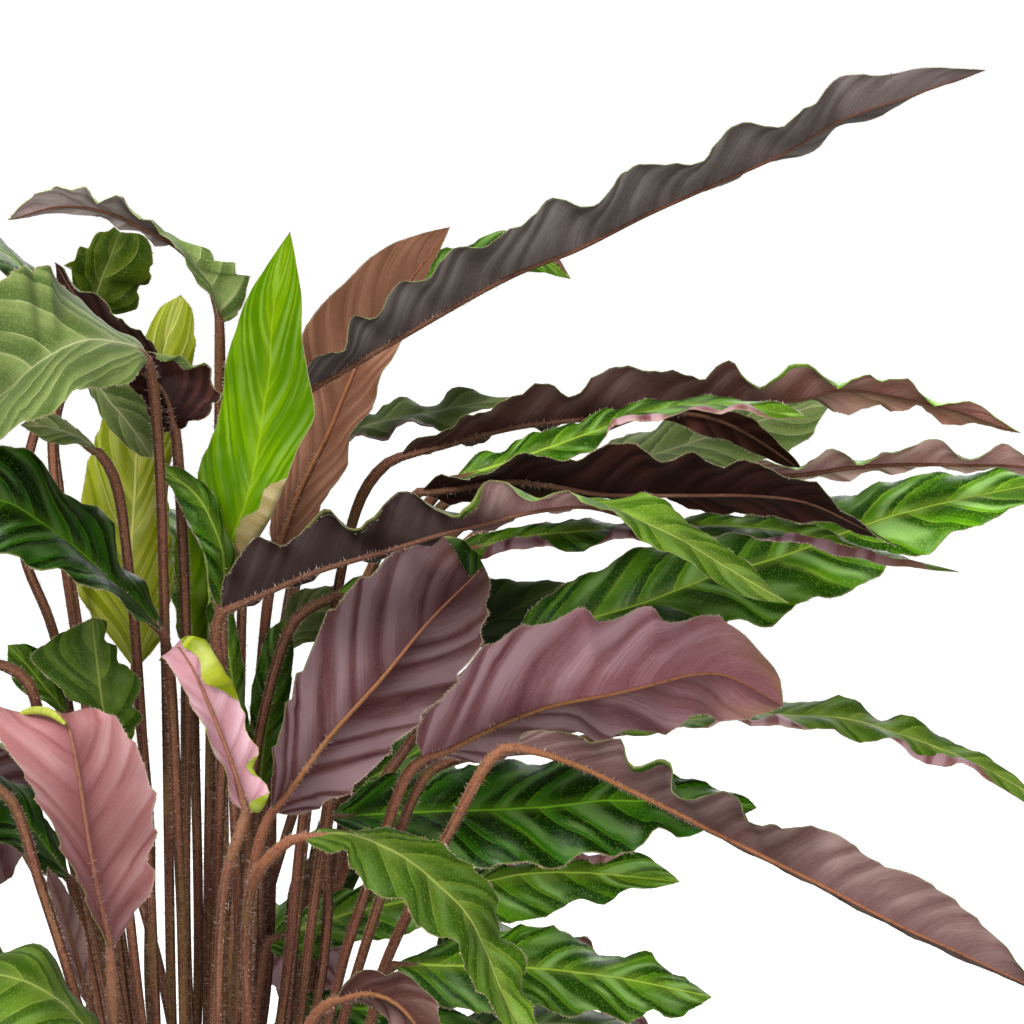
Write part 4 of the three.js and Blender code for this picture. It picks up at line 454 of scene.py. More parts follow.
    {"name": "leaf_40_pink_narrow", "seen": "pink", "half": 18, "lean": 0.4, "other": "yellow",
     "finish": "lilac", "stalk_finish": "rose stalk", "pleats": 0.6,
     "curls": [(1, 0.55, 0.9, 9), (1, 0.03, 0.14, 5), (1, 0.2, 0.3, 3)],
     "stalk": [[238, 838, -104], [226, 880, -96], [220, 950, -82], [218, 1024]],
     "rib": [[246, 812, -106], [236, 780, -110], [222, 740, -112], [206, 700, -112],
      [190, 664, -108], [176, 646, -98], [168, 656, -86]],
     "left": [[232, 800], [226, 775], [210, 742], [192, 704], [174, 674], [161, 655], [158, 660]],
     "right": [[260, 812], [268, 788], [254, 770], [258, 750], [246, 732], [244, 712], [234, 688],
      [217, 658], [200, 637], [182, 640]]},
    {"name": "leaf_41_dark_jagged", "seen": "dark", "half": 26, "lean": 0.3, "finish": "olive",
     "tones_and_shade": (0.8,), "toothed": ("left", "right"),
     "stalk": [[118, 800, -58], [128, 900, -50], [142, 1024]],
     "rib": [[112, 748, -60], [104, 713, -62], [98, 671, -64], [92, 618, -64]],
     "left": [[92, 706], [70, 700], [60, 688], [46, 676], [29, 657], [50, 640], [69, 629],
      [80, 624]],
     "right": [[112, 716], [122, 735], [129, 743], [137, 728], [145, 719], [133, 707], [135, 699],
      [143, 683], [126, 665], [117, 663], [118, 646], [105, 642], [108, 621], [100, 619]]},
    {"name": "leaf_42_off_left", "seen": "green", "half": 26, "lean": 1,
     "stalk": [[16, 671, -74], [29, 684, -73], [37, 707, -70], [50, 780, -54], [70, 850, -34],
      [110, 1024]],
     "rib": [[-10, 662, -76], [-60, 655, -82], [-120, 680, -88], [-175, 750, -94]],
     "left": [[-30, 680], [-75, 690], [-125, 720], [-160, 752]],
     "right": [[-30, 640], [-80, 628], [-135, 650], [-172, 710]]},
    {"name": "leaf_43_green_left", "seen": "green", "half": 15, "lean": 0.6,
     "stalk": [[95, 880, -30], [124, 1024]],
     "rib": [[68, 718, -36], [45, 688, -38], [26, 664, -40], [8, 645, -42]],
     "left": [[48, 705], [22, 690], [8, 668]],
     "right": [[66, 690], [56, 662], [30, 645]]},
    {"name": "leaf_44_dark_left", "seen": "dark", "half": 27, "lean": 1,
     "stalk": [[91, 972, -56], [101, 1024]],
     "rib": [[70, 880, -68], [42, 842, -72], [10, 805, -78], [-35, 775, -84], [-90, 768, -90]],
     "left": [[45, 872], [15, 852], [-20, 825], [-65, 795]],
     "right": [[62, 848], [38, 802], [5, 775], [-45, 750]]},
    {"name": "leaf_45_bottom_left", "seen": "green", "half": 34, "lean": 1, "finish": "olive",
     "tones_and_shade": (0.97,),
     "stalk": [[112, 1085, -120], [130, 1150]],
     "rib": [[100, 1045, -130], [60, 1002, -138], [20, 980, -144], [-30, 975, -150],
      [-90, 1012, -156]],
     "left": [[75, 1050], [30, 1042], [-20, 1036], [-60, 1030]],
     "right": [[92, 1012], [65, 985], [52, 960], [40, 943], [16, 946], [-6, 955], [-35, 948],
      [-72, 975]]},
    {"name": "leaf_46_lilac_narrow", "seen": "mauve", "half": 10, "lean": 0.6,
     "stalk": [[106, 1056, -60], [128, 1120]],
     "rib": [[90, 1010, -74], [76, 960, -84], [62, 910, -92], [47, 868, -98]],
     "left": [[76, 985], [60, 935], [49, 895]],
     "right": [[88, 965], [78, 915], [60, 880]]},
    {"name": "leaf_47_inner_green", "seen": "green", "half": 10, "lean": 0.6,
     "stalk": [[238, 830, -12], [230, 1024]],
     "rib": [[238, 760, -14], [234, 700, -15], [228, 650, -15], [218, 600, -15]],
     "left": [[224, 740], [216, 690], [212, 640], [207, 605]],
     "right": [[249, 740], [244, 690], [239, 640], [228, 603]]},
    {"name": "leaf_48_inner_right", "seen": "green", "half": 15, "lean": 0.4,
     "stalk": [[255, 860, 2], [251, 1024]],
     "rib": [[258, 800, 2], [264, 740, 2], [274, 680, 2], [286, 618, 2]],
     "left": [[248, 770], [249, 720], [256, 670], [270, 630]],
     "right": [[270, 780], [284, 735], [292, 680], [292, 640]]},
    {"name": "leaf_49_inner_olive", "seen": "lime", "half": 14, "lean": 0.4,
     "stalk": [[194, 720, 2], [197, 1024]],
     "rib": [[192, 655, 2], [190, 605, 2], [187, 562, 2], [178, 512, 2]],
     "left": [[180, 640], [176, 590], [175, 550]],
     "right": [[205, 640], [207, 590], [200, 545]]},
    {"name": "leaf_50_arched_inner", "seen": "green", "half": 12, "lean": -0.3,
     "stalk": [[301, 614, -14], [288, 632, -16], [256, 756, -18], [244, 1024]],
     "rib": [[334, 597, -11], [365, 590, -8], [405, 580, -6], [445, 573, -4]],
     "left": [[348, 582], [385, 568], [425, 562]],
     "right": [[350, 606], [390, 602], [430, 588]]},
    {"name": "leaf_51_grey_inner", "seen": "grey", "half": 15, "lean": -0.8,
     "stalk": [[276, 690, 24], [266, 780, 20], [256, 1024]],
     "rib": [[284, 655, 26], [300, 625, 26], [324, 603, 26], [352, 588, 26]],
     "left": [[280, 630], [290, 600], [320, 586]],
     "right": [[302, 645], [326, 635], [350, 610]]},
    {"name": "leaf_52_off_left_top", "seen": "green", "half": 24, "lean": 0.8,
     "stalk": [[62, 350, 12], [52, 440, 14], [85, 700, 12], [128, 1024]],
     "rib": [[45, 292, 10], [15, 262, 6], [-20, 245, 0], [-80, 252, -8], [-140, 290, -14]],
     "left": [[22, 285], [0, 270], [-40, 268], [-95, 285]],
     "right": [[34, 270], [0, 240], [-40, 228], [-100, 236]]},
    {"name": "leaf_53_off_left_low", "seen": "dark", "half": 27, "lean": 1,
     "stalk": [[11, 800, -122], [41, 887, -118], [65, 961, -110], [84, 1024, -100]],
     "rib": [[-12, 783, -122], [-60, 775, -126], [-120, 795, -130], [-185, 860, -134]],
     "left": [[-30, 802], [-75, 812], [-125, 832], [-165, 862]],
     "right": [[-30, 765], [-80, 750], [-135, 762], [-180, 815]]},
]

# What a leaf has where it says nothing else
USUAL = {"stalk_finish": "stalk", "pleats": 1.0, "ripple": 1.7, "straight_below": 1, "teeth": 1.3,
         "spacing": 15.0, "sweep": 1.15, "tones_and_shade": (1,), "toothed": (), "curls": (), "lip": None}
TOP_FACES = ("dark", "grey", "green", "lime", "yellow", "olive")
RIPPLE_LENGTH = 27
TOOTHED_ROWS = 1.2
CURL_STEPS = 4
LIP_RADIUS = 2.0
LIP_RINGS = 24

# Low and rear leaves in four shoots. depth and across place a shoot's foot among the leaves' own.
# Each leaf: the way it leans in degrees (0 = right, 90 = away from the view), then the reach and
# the height of its blade's base and tip, and half its width, in mm.
SHOOTS = [
    {"name": "shoot_back", "depth": 110, "across": 230, "leaves": [
        {"way": 70, "base": [110, 400], "tip": [290, 330], "half": 30},
        {"way": 96, "base": [90, 450], "tip": [250, 470], "half": 28},
        {"way": 120, "base": [120, 380], "tip": [300, 280], "half": 31},
        {"way": 84, "base": [130, 300], "tip": [300, 210], "half": 28}]},
    {"name": "shoot_left", "depth": 14, "across": 60, "leaves": [
        {"way": 150, "base": [130, 390], "tip": [320, 380], "half": 30},
        {"way": 172, "base": [150, 330], "tip": [330, 270], "half": 29},
        {"way": 138, "base": [140, 280], "tip": [300, 200], "half": 28}]},
    {"name": "shoot_right_low", "depth": 45, "across": 400, "leaves": [
        {"way": 44, "base": [130, 290], "tip": [290, 220], "half": 29},
        {"way": 12, "base": [120, 240], "tip": [280, 190], "half": 27},
        {"way": 60, "base": [120, 250], "tip": [260, 160], "half": 27}]},
    {"name": "shoot_front_low", "depth": -180, "across": 262, "leaves": [
        {"way": 266, "base": [120, 250], "tip": [270, 180], "half": 28},
        {"way": 298, "base": [120, 238], "tip": [270, 170], "half": 29},
        {"way": 325, "base": [125, 256], "tip": [290, 200], "half": 28}]},
]
SHOOT_WAVE = 3
SHOOT_WAVES = 5
WAVE_FULL_AT = 12
BLADE_FLAT = 0.94
BLADE_CUPPED = 0.3
ARCH_RISE = 0.3
ARCH_LIFT = 0.35
ARCH_NEAR = 0.3
ARCH_FAR = 0.7
STALK_BEND_OUT = 0.45
STALK_BEND_UP = 0.62


# Curves and places

LENGTH_SAMPLES = 201


def unit(vectors):
    """The same directions with a length of 1."""
    return vectors / np.maximum(np.linalg.norm(vectors, axis=-1, keepdims=True), 1e-9)


def from_photo(x, y, depth):
    """Places in mm of points of the photograph at a depth behind the clump's axis."""
    across = (np.asarray(x, float) - PHOTO_MIDDLE) * MM_PER_PIXEL
    above = (PHOTO_MIDDLE - np.asarray(y, float)) * MM_PER_PIXEL
    cos, sin = math.cos(VIEW_TILT), math.sin(VIEW_TILT)
    along = (depth - above * sin) / (cos + above * sin / VIEW_DISTANCE)
    grow = 1 + along / VIEW_DISTANCE
    return np.stack([
        (PHOTO_MIDDLE - AXIS_PIXEL) * MM_PER_PIXEL + across * grow,
        along * cos + above * grow * sin,
        VIEW_HEIGHT + above * grow * cos - along * sin,
    ], axis=-1)


def lengths_along(points):
    """How far each of a row of points lies from the first, along the row."""
    return np.concatenate([[0], np.cumsum(np.linalg.norm(np.diff(points, axis=0), axis=1))])


def on_curve(points, shares):
    """Points of a centripetal Catmull-Rom curve at shares of its span of control points."""
    points = np.asarray(points, float)
    padded = np.vstack([2 * points[0] - points[1], points, 2 * points[-1] - points[-2]])
    position = np.clip(np.asarray(shares, float), 0, 1) * (len(points) - 1)
    piece = np.minimum(position.astype(int), len(points) - 2)
    t = (position - piece)[:, None]
    p0, p1, p2, p3 = (padded[piece + k] for k in range(4))
    d0, d1, d2 = (np.sqrt(np.linalg.norm(b - a, axis=1))[:, None]
                  for a, b in ((p0, p1), (p1, p2), (p2, p3)))
    t1 = ((p1 - p0) / d0 - (p2 - p0) / (d0 + d1) + (p2 - p1) / d1) * d1
    t2 = ((p2 - p1) / d1 - (p3 - p1) / (d1 + d2) + (p3 - p2) / d2) * d1
    c2 = -3 * p1 + 3 * p2 - 2 * t1 - t2
    c3 = 2 * p1 - 2 * p2 + t1 + t2
    return p1 + t1 * t + c2 * t ** 2 + c3 * t ** 3


def evenly_on_curve(points, shares):
    """The same at shares of its length."""
    ts = np.linspace(0, 1, LENGTH_SAMPLES)
    samples = on_curve(points, ts)
    lengths = lengths_along(samples)
    return on_curve(points, np.interp(np.asarray(shares) * lengths[-1], lengths, ts))


def evenly_on_line(points, shares):
    """Points at shares of the length of straight stretches, for a toothed margin."""
    points = np.asarray(points, float)
    lengths = lengths_along(points)
    places = np.asarray(shares) * lengths[-1]
    return np.stack([np.interp(places, lengths, points[:, k]) for k in range(2)], axis=1)


def leaf_shape(share):
    """Half the blade's width at a share of its length, as a share of its widest."""
    return np.maximum(np.sin(np.pi * np.clip(share, 0, 1) ** WIDEST_LOW), 0) ** FULLNESS


def smoothed(values, reach):
    """Values along a leaf with their small jumps evened out."""
    offsets = np.arange(-3 * reach, 3 * reach + 1)
    weights = np.exp(-0.5 * (offsets / reach) ** 2)
    weights /= weights.sum()
    padded = np.pad(values, 3 * reach, mode="edge")
    return np.convolve(padded, weights, mode="valid")


def rows_from_photo(leaf, shares):
    """Left margin, middle rib and right margin of a leaf at shares of its length, in mm."""
    rib = evenly_on_curve(leaf["rib"], shares)
    base, tip = leaf["rib"][0][:2], leaf["rib"][-1][:2]
    width = leaf["half"] * leaf_shape(shares)
    margins = []
    for side, name in ((-leaf["lean"], "left"), (leaf["lean"], "right")):
        through = evenly_on_line if name in leaf["toothed"] else evenly_on_curve
        edge = through([base] + leaf[name] + [tip], shares)
        seen = np.linalg.norm(edge - rib[:, :2], axis=1) * MM_PER_PIXEL
        deep = np.sqrt(np.maximum(width ** 2 - seen ** 2, 0))
        deep = np.minimum(smoothed(deep, 2), width)
        margins.append(from_photo(edge[:, 0], edge[:, 1], rib[:, 2] + side * deep))
    return margins[0], from_photo(rib[:, 0], rib[:, 1], rib[:, 2]), margins[1]


def rows_of_arch(leaf, shares):
    """The same for a leaf that arches out from the clump in a direction."""
    way = math.radians(leaf["way"])
    out = np.array([math.cos(way), math.sin(way), 0])
    across = np.array([-out[1], out[0], 0])
    up = np.array([0, 0, 1])
    (base_reach, base_height), (tip_reach, tip_height) = leaf["base"], leaf["tip"]
    length = tip_reach - base_reach
    bends = np.array([
        out * base_reach + up * base_height,
        out * (base_reach + length * ARCH_NEAR) + up * (base_height + length * ARCH_RISE),
        out * (base_reach + length * ARCH_FAR) + up * (tip_height + length * ARCH_LIFT),
        out * tip_reach + up * tip_height,
    ])
    t = np.asarray(shares)[:, None]
    rib = ((1 - t) ** 3 * bends[0] + 3 * (1 - t) ** 2 * t * bends[1]
           + 3 * (1 - t) * t ** 2 * bends[2] + t ** 3 * bends[3])
    width = leaf["half"] * leaf_shape(shares)
    margins = []
    for side in (1, -1):
        wave = SHOOT_WAVE * np.sin(2 * np.pi * SHOOT_WAVES * np.asarray(shares) + side)
        rise = width * BLADE_CUPPED + wave * np.minimum(1, width / WAVE_FULL_AT)
        margins.append(rib + side * across * (width * BLADE_FLAT)[:, None] + up * rise[:, None])
    return margins[0], rib, margins[1]


# Feet of the stalks on the crown

def crown_rows():
    """Spots for the stalks in a hexagon of rows, from the front to the back."""
    rows = []
    for row in range(-SPOT_RINGS, SPOT_RINGS + 1):
        outermost = 1 if abs(row) == SPOT_RINGS else 0
        count = 2 * SPOT_RINGS + 1 - abs(row) - 2 * outermost
        depth = SPOT_SPACING * row * math.sqrt(0.75)
        rows.append([(SPOT_SPACING * (place - (count - 1) / 2), depth) for place in range(count)])
    return rows


def give_feet(plans):
    """The front row goes to the leaves whose blades are nearest, and so on."""
    by_depth = sorted(plans, key=lambda plan: plan["depth"])
    for spots in crown_rows():
        in_row = sorted(by_depth[:len(spots)], key=lambda plan: plan["across"])
        by_depth = by_depth[len(spots):]
        for plan, spot in zip(in_row, spots):
            plan["foot"] = spot


def give_lean(leaf):
    """How far a stalk has leaned out by the level of the photograph's lower edge."""
    known = [bend for bend in leaf["stalk"] if len(bend) == 3][-1]
    leaf["depth"] = known[2] * (SOIL_PIXEL - PHOTO_SIDE) / (SOIL_PIXEL - known[1])
    leaf["across"] = leaf["stalk"][-1][0]


def stalk_bends(leaf):
    """The stalk's bends from the foot up. The lowest has no depth of its own."""
    known = [bend for bend in leaf["stalk"] if len(bend) == 3]
    upper = known[-1] if known else leaf["rib"][0]
    bends = []
    for bend in reversed(leaf["stalk"]):
        share = (bend[1] - upper[1]) / (SOIL_PIXEL - upper[1])
        depth = bend[2] if len(bend) == 3 else upper[2] + (leaf["foot"][1] - upper[2]) * share
        bends.append(from_photo(bend[0], bend[1], depth))
    return bends


def shoot_bends(leaf, spot):
    """The one bend of a shoot's stalk, between its foot and its blade."""
    way = math.radians(leaf["way"])
    reach, height = leaf["base"]
    return [np.array([
        spot[0] + (math.cos(way) * reach - spot[0]) * STALK_BEND_OUT,
        spot[1] + (math.sin(way) * reach - spot[1]) * STALK_BEND_OUT,
        STALK_STRAIGHT_TO + (height - STALK_STRAIGHT_TO) * STALK_BEND_UP,
    ])]


# Meshes. A patch is a dictionary of points in mm, faces, their materials' places, and on a blade
# three maps: Blade is (share of the length, mm from the rib), Across is (share across the half,
# how light the colours are painted, partly the leaf's own lightness and partly painted light and
# shade), and Veins is (how many side veins, share of the length where a vein starts that runs
# through here). On a tube, Blade is (mm along it, turn round it).

SEEN_FACE, OTHER_FACE, STALK, HAIR = range(4)
ACROSS = np.array([0.0, 0.1, 0.24, 0.4, 0.56, 0.72, 0.85, 0.94, 1.0])
RIB_WIDTH = 1.3
DOME = 0.07
PLEAT_SKEW = 0.7
PLEAT_DEPTH = 0.7
PLEAT_DEPTHS = (0.35, 1.2)
FEWEST_VEINS = 4.0
SPARE_VEINS = 6
WIDTH_EVENED = 4
FULL_WIDTH = 14
BASE_FADE = 0.06
TIP_FADE = 0.08
VEIN_CURVE = 1.25
SLOW_WAVE = 0.37
FAST_WAVE = 0.83
FINE_WAVE = 3.1
FINE_SHARE = 0.22
VEIN_DRIFT = 0.2
VEIN_JITTER = 0.08
CURL_LEAST = 0.12
CURL_MOST = 0.85
TONE_AND_SHADE_POWER = 2.2


def rib_half_width(shares):
    """Half the flat width along the middle rib, narrower towards the tip."""
    return RIB_WIDTH * (1 - np.asarray(shares)) ** 0.6 + 0.25


def vein_numbers(swept, sign, count):
    """Which side vein a point lies at. Whole numbers are veins, a little unevenly spaced.

    The finishes work out the same number, to shade the hollows between veins."""
    steps = swept * count
    slow = VEIN_DRIFT * np.sin(2 * np.pi * SLOW_WAVE * steps + 1.7 * sign + count)
    return steps + slow + VEIN_JITTER * np.sin(2 * np.pi * FAST_WAVE * steps + 2.3 * sign)


def facing(leaf):
    """1 where the face in view at the base is the upper one, -1 where it is the lower one."""
    return 1 if leaf["seen"] in TOP_FACES else -1


def wave_of(waves, number, shares, turn):
    """A wave along the blade, with a number of waves to each usual one."""
    return np.sin(2 * np.pi * number * waves * shares + turn)


def rolled_back(points, v, swept, rolls, roll_of):
    """Adds a strip that rolls back over the blade from its margin, narrow outside the rolls."""
    shares, width, out, way, waves, turn = roll_of
    reach = np.full(len(shares), CURL_LEAST)
    for _, begin, end, widest in rolls:
        inside = np.clip((shares - begin) / (end - begin), 0, 1)
        ragged = 1 + 0.25 * np.sin(2 * np.pi * waves * shares * 1.4 + turn)
        reach = np.maximum(reach, widest * np.sin(np.pi * inside) ** 0.5 * ragged)
    reach = np.minimum(reach, width * CURL_MOST)
    steps = (np.arange(CURL_STEPS) + 1) / CURL_STEPS
    inward = -unit(out)[:, None, :] * (reach[:, None] * (1 - np.cos(np.pi * steps / 2)))[..., None]
    height = 0.3 * reach[:, None] * np.sin(np.pi * steps * 0.75) ** 0.7
    strip = points[:, -1:, :] + inward + way[:, None, :] * height[..., None]
    beyond = 1 - 0.35 * steps[None, :] * (reach / np.maximum(width, 1e-6))[:, None]
    return (np.concatenate([points, strip], axis=1), np.concatenate([v, beyond], axis=1),
            np.concatenate([swept, np.repeat(swept[:, -1:], CURL_STEPS, 1)], axis=1))


def blade_half(leaf, edge, rib, sign, shares, way, middle_way, veins, random):
    """One half of a blade from its rib to its margin: points, share across and side vein number."""
    length, count, sweep = veins
    numbers = np.arange(-SPARE_VEINS, math.ceil(count) + SPARE_VEINS)
    depths = random.uniform(*PLEAT_DEPTHS, len(numbers))
    out = edge - rib
    width = np.linalg.norm(out, axis=1)
    start = np.minimum(rib_half_width(shares) / np.maximum(width, 1e-6), 0.35)
    v = np.concatenate([
        (start * 0.5)[:, None],
        start[:, None] + (1 - start)[:, None] * ACROSS[None, :],
    ], axis=1)
    blend = np.clip(v / 0.3, 0, 1)[..., None]
    lift_way = unit(middle_way[:, None, :] * (1 - blend) + way[:, None, :] * blend)
    even_v = v * (width / np.maximum(smoothed(width, WIDTH_EVENED), 1e-6))[:, None]
    swept = shares[:, None] - sweep * even_v ** VEIN_CURVE * (1 - 0.3 * shares[:, None])
    phase = vein_numbers(swept, sign, count)
    depth = np.interp(phase, numbers, depths) * leaf["pleats"] * PLEAT_DEPTH
    end_fade = np.minimum(shares / BASE_FADE, (1 - shares) / TIP_FADE)
    end_fade = np.clip(end_fade, 0, 1)[:, None]
    small = np.minimum(1, width / FULL_WIDTH)[:, None]
    dome = DOME * width[:, None] * 4 * v * (1 - v) * facing(leaf)
    fold = np.sin(2 * np.pi * phase + PLEAT_SKEW * np.sin(2 * np.pi * phase))
    pleat = -facing(leaf) * depth * fold * np.clip(v / 0.2, 0, 1) * (1 - 0.4 * v) * small
    waves = length / RIPPLE_LENGTH
    turn = random.uniform(0, 2 * np.pi)
    slow = 0.7 * wave_of(waves, SLOW_WAVE, shares, turn)
    wave = wave_of(waves, 1, shares, turn + slow)[:, None]
    fine = FINE_SHARE * wave_of(waves, FINE_WAVE, shares, 2 * turn)[:, None]
    height = leaf["ripple"] * (leaf["straight_below"] if sign > 0 else 1)
    ripple = height * (v ** 2.4 * wave + v ** 5 * fine) * small
    lift = dome + (pleat + ripple) * end_fade
    points = rib[:, None, :] + v[..., None] * out[:, None, :] + lift[..., None] * lift_way
    tooth = (phase[:, -1:] % 1) ** 1.6 - 0.4
    reach = leaf["teeth"] * tooth * v ** 4 * small * end_fade
    points += reach[..., None] * unit(out)[:, None, :]
    rolls = [roll for roll in leaf["curls"] if roll[0] == sign]
    if rolls:
        roll_of = (shares, width, out, way, waves, turn)
        points, v, swept = rolled_back(points, v, swept, rolls, roll_of)
    return points, v, v * width[:, None] * sign, swept


def tones_and_shade_along(leaf, shares):
    """How light the leaf is painted along its length, as a factor for the shader's linear values:
    partly its own lightness, partly painted light and shade.
    """
    tones_and_shade = leaf["tones_and_shade"]
    return np.interp(shares, np.linspace(0, 1, len(tones_and_shade)), tones_and_shade) ** TONE_AND_SHADE_POWER


def both_faces(grid, normal, thick, rim_material):
    """The two skins of a thin sheet and the rim that joins them: points, faces, materials."""
    rows_count, columns = grid.shape[:2]
    points = np.concatenate([(grid + normal * thick).reshape(-1, 3),
                             (grid - normal * thick).reshape(-1, 3)])
    number = np.arange(rows_count * columns).reshape(rows_count, columns)
    a, b = number[:-1, :-1].ravel(), number[:-1, 1:].ravel()
    c, d = number[1:, 1:].ravel(), number[1:, :-1].ravel()
    other = rows_count * columns
    seen_faces = np.stack([a, b, c, d], 1)
    other_faces = np.stack([a, d, c, b], 1) + other
    ring = np.concatenate([number[0, :-1], number[:-1, -1], number[-1, :0:-1], number[:0:-1, 0]])
    after = np.roll(ring, -1)
    rim_faces = np.stack([ring, ring + other, after + other, after], 1)
    faces = (seen_faces, other_faces, rim_faces)
    counts = [len(part) for part in faces]
    material = np.repeat([SEEN_FACE, OTHER_FACE, rim_material], counts)
    return points, np.concatenate(faces), material


def blade_patch(rows, shares, leaf, seed):
    """A thin blade over its margins and rib: domed, pleated between side veins, and waved."""
    left, rib, right = rows
    length = lengths_along(rib)[-1]
    along = unit(np.gradient(rib, axis=0))
    random = np.random.default_rng(seed)
    ways = [unit(np.cross(sign * (edge - rib), along)) for edge, sign in ((left, -1), (right, 1))]
    middle_way = unit(ways[0] + ways[1])
    vein_count = max(FEWEST_VEINS, length / leaf["spacing"])
    veins = (length, vein_count, leaf["sweep"] * leaf["half"] / length)
    halves = [blade_half(leaf, edge, rib, sign, shares, way, middle_way, veins, random)
              for edge, sign, way in ((left, -1, ways[0]), (right, 1, ways[1]))]
    zero = np.zeros((len(shares), 1))
    middles = (rib[:, None, :], zero, zero, shares[:, None])
    grid, v, from_rib, swept = (
        np.concatenate([lower[:, ::-1], middle, upper], axis=1)
        for lower, middle, upper in zip(halves[0], middles, halves[1]))
    columns = grid.shape[1]
    normal = unit(np.cross(np.gradient(grid, axis=1), np.gradient(grid, axis=0)))
    thick = (BLADE_THICKNESS * (1 - 0.45 * v) / 2)[..., None]
    rim_material = SEEN_FACE if facing(leaf) > 0 else OTHER_FACE
    points, faces, material = both_faces(grid, normal, thick, rim_material)
    tones_and_shade = np.repeat(tones_and_shade_along(leaf, shares)[:, None], columns, 1)
    maps = {"Blade": (np.repeat(shares[:, None], columns, 1), from_rib),
            "Across": (v, tones_and_shade),
            "Veins": (np.full_like(swept, vein_count), swept)}
    maps = {key: np.tile(np.stack(pair, -1).reshape(-1, 2), (2, 1)) for key, pair in maps.items()}
    edges = [(grid[:, 0], unit(grid[:, 0] - grid[:, 1]), normal[:, 0]),
             (grid[:, -1], unit(grid[:, -1] - grid[:, -2]), normal[:, -1])]
    return {"points": points, "faces": faces, "material": material, **maps,
            "middle_way": middle_way, "edges": edges}


def tube_patch(path, radii, sides, material, map_start):
    """A closed round tube along points, with its own radius at each."""
    along = unit(np.gradient(path, axis=0))
    frames = []
    side = unit(np.cross(along[0], [0.3, 1.0, 0.2]))
    for direction in along:
        side = unit(side - direction * np.dot(side, direction))
        frames.append((side, np.cross(direction, side)))
    turns = 2 * np.pi * np.arange(sides) / sides
    first = np.array([f[0] for f in frames])[:, None, :]
    second = np.array([f[1] for f in frames])[:, None, :]
    outward = first * np.cos(turns)[None, :, None] + second * np.sin(turns)[None, :, None]
    points = path[:, None, :] + outward * radii[:, None, None]
    rings = len(path)
    number = np.arange(rings * sides).reshape(rings, sides)
    beside = np.roll(number, -1, axis=1)
    walls = np.stack([number[:-1].ravel(), beside[:-1].ravel(), beside[1:].ravel(),
                      number[1:].ravel()], 1)
    ends = np.array([rings * sides, rings * sides + 1])
    bottom = np.stack([np.repeat(ends[0], sides), beside[0], number[0], number[0]], 1)
    top = np.stack([np.repeat(ends[1], sides), number[-1], beside[-1], beside[-1]], 1)
    lengths = map_start + lengths_along(path)
    tube_map = np.stack([np.repeat(lengths[:, None], sides, 1),
                         np.repeat(turns[None, :], rings, 0)], -1).reshape(-1, 2)
    tube_map = np.vstack([tube_map, [[lengths[0], 0], [lengths[-1], 0]]])
    return {"points": np.vstack([points.reshape(-1, 3), path[0], path[-1]]),
            "faces": np.concatenate([walls, bottom, top]),
            "material": np.full(len(walls) + 2 * sides, material),
            "Blade": tube_map, "outward": outward, "along": along}


HAIR_RADIUS = 0.1
HAIR_SIDES = 3
HAIR_ROOT = 0.93
STALK_HAIR = 2.1
STALK_HAIRS_PER_MM = 3.2
MARGIN_HAIR = 1.3
MARGIN_HAIRS_PER_MM = 1.7


def spikes(feet, out, along, lengths, material):
    """Slim three-sided spikes, one for each foot and direction."""
    count = len(feet)
    across = unit(np.cross(out, along))
    third = np.cross(out, across)
    points = []
    for k in range(HAIR_SIDES):
        turn = 2 * np.pi * k / HAIR_SIDES
        points.append(feet + HAIR_RADIUS * (across * math.cos(turn) + third * math.sin(turn)))
    points.append(feet + out * lengths[:, None])
    first = np.arange(count)
    corners = [first + k * count for k in range(HAIR_SIDES + 1)]
    tip = corners[-1]
    faces = [np.stack([corners[k], corners[(k + 1) % HAIR_SIDES], tip, tip], 1)
             for k in range(HAIR_SIDES)]
    faces.append(np.stack([corners[2], corners[1], corners[0], corners[0]], 1))
    return {"points": np.concatenate(points), "faces": np.concatenate(faces),
            "material": np.full((HAIR_SIDES + 1) * count, material)}


def spread_along(path, per_mm, random):
    """Random places along a path, as a row number with its share of the way to the next row."""
    lengths = lengths_along(path)
    places = np.sort(random.uniform(0, lengths[-1], int(lengths[-1] * per_mm)))
    row = np.clip(np.searchsorted(lengths, places) - 1, 0, len(path) - 2)
    share = (places - lengths[row]) / np.maximum(lengths[row + 1] - lengths[row], 1e-9)
    return row, share[:, None]


def stalk_hairs(path, radii, outward, along, seed):
    """Short hairs that stand out all round a stalk."""
    random = np.random.default_rng(seed)
    row, share = spread_along(path, STALK_HAIRS_PER_MM, random)
    count = len(row)
    centre = path[row] * (1 - share) + path[row + 1] * share
    radius = radii[row][:, None] * (1 - share) + radii[row + 1][:, None] * share
    side = outward[row, random.integers(0, outward.shape[1], count)]
    out = unit(side + 0.25 * random.normal(size=(count, 3)) + 0.25 * along[row])
    lengths = STALK_HAIR * random.uniform(0.5, 1.2, count)
    return spikes(centre + side * radius * HAIR_ROOT, out, along[row], lengths, HAIR)


def margin_hairs(edges, seed):
    """A fine fringe along both margins of a blade."""
    random = np.random.default_rng(seed)
    patches = []
    for points, out, way in edges:
        row, share = spread_along(points, MARGIN_HAIRS_PER_MM, random)
        feet = points[row] * (1 - share) + points[row + 1] * share
        along = unit(points[row + 1] - points[row])
        lean = out[row] + 0.35 * along + 0.35 * random.normal(size=(len(row), 3)) + 0.2 * way[row]
        lengths = MARGIN_HAIR * random.uniform(0.5, 1.25, len(row))
        patches.append(spikes(feet, unit(lean), along, lengths, HAIR))
    return patches


SHARP_ANGLE = math.radians(50)


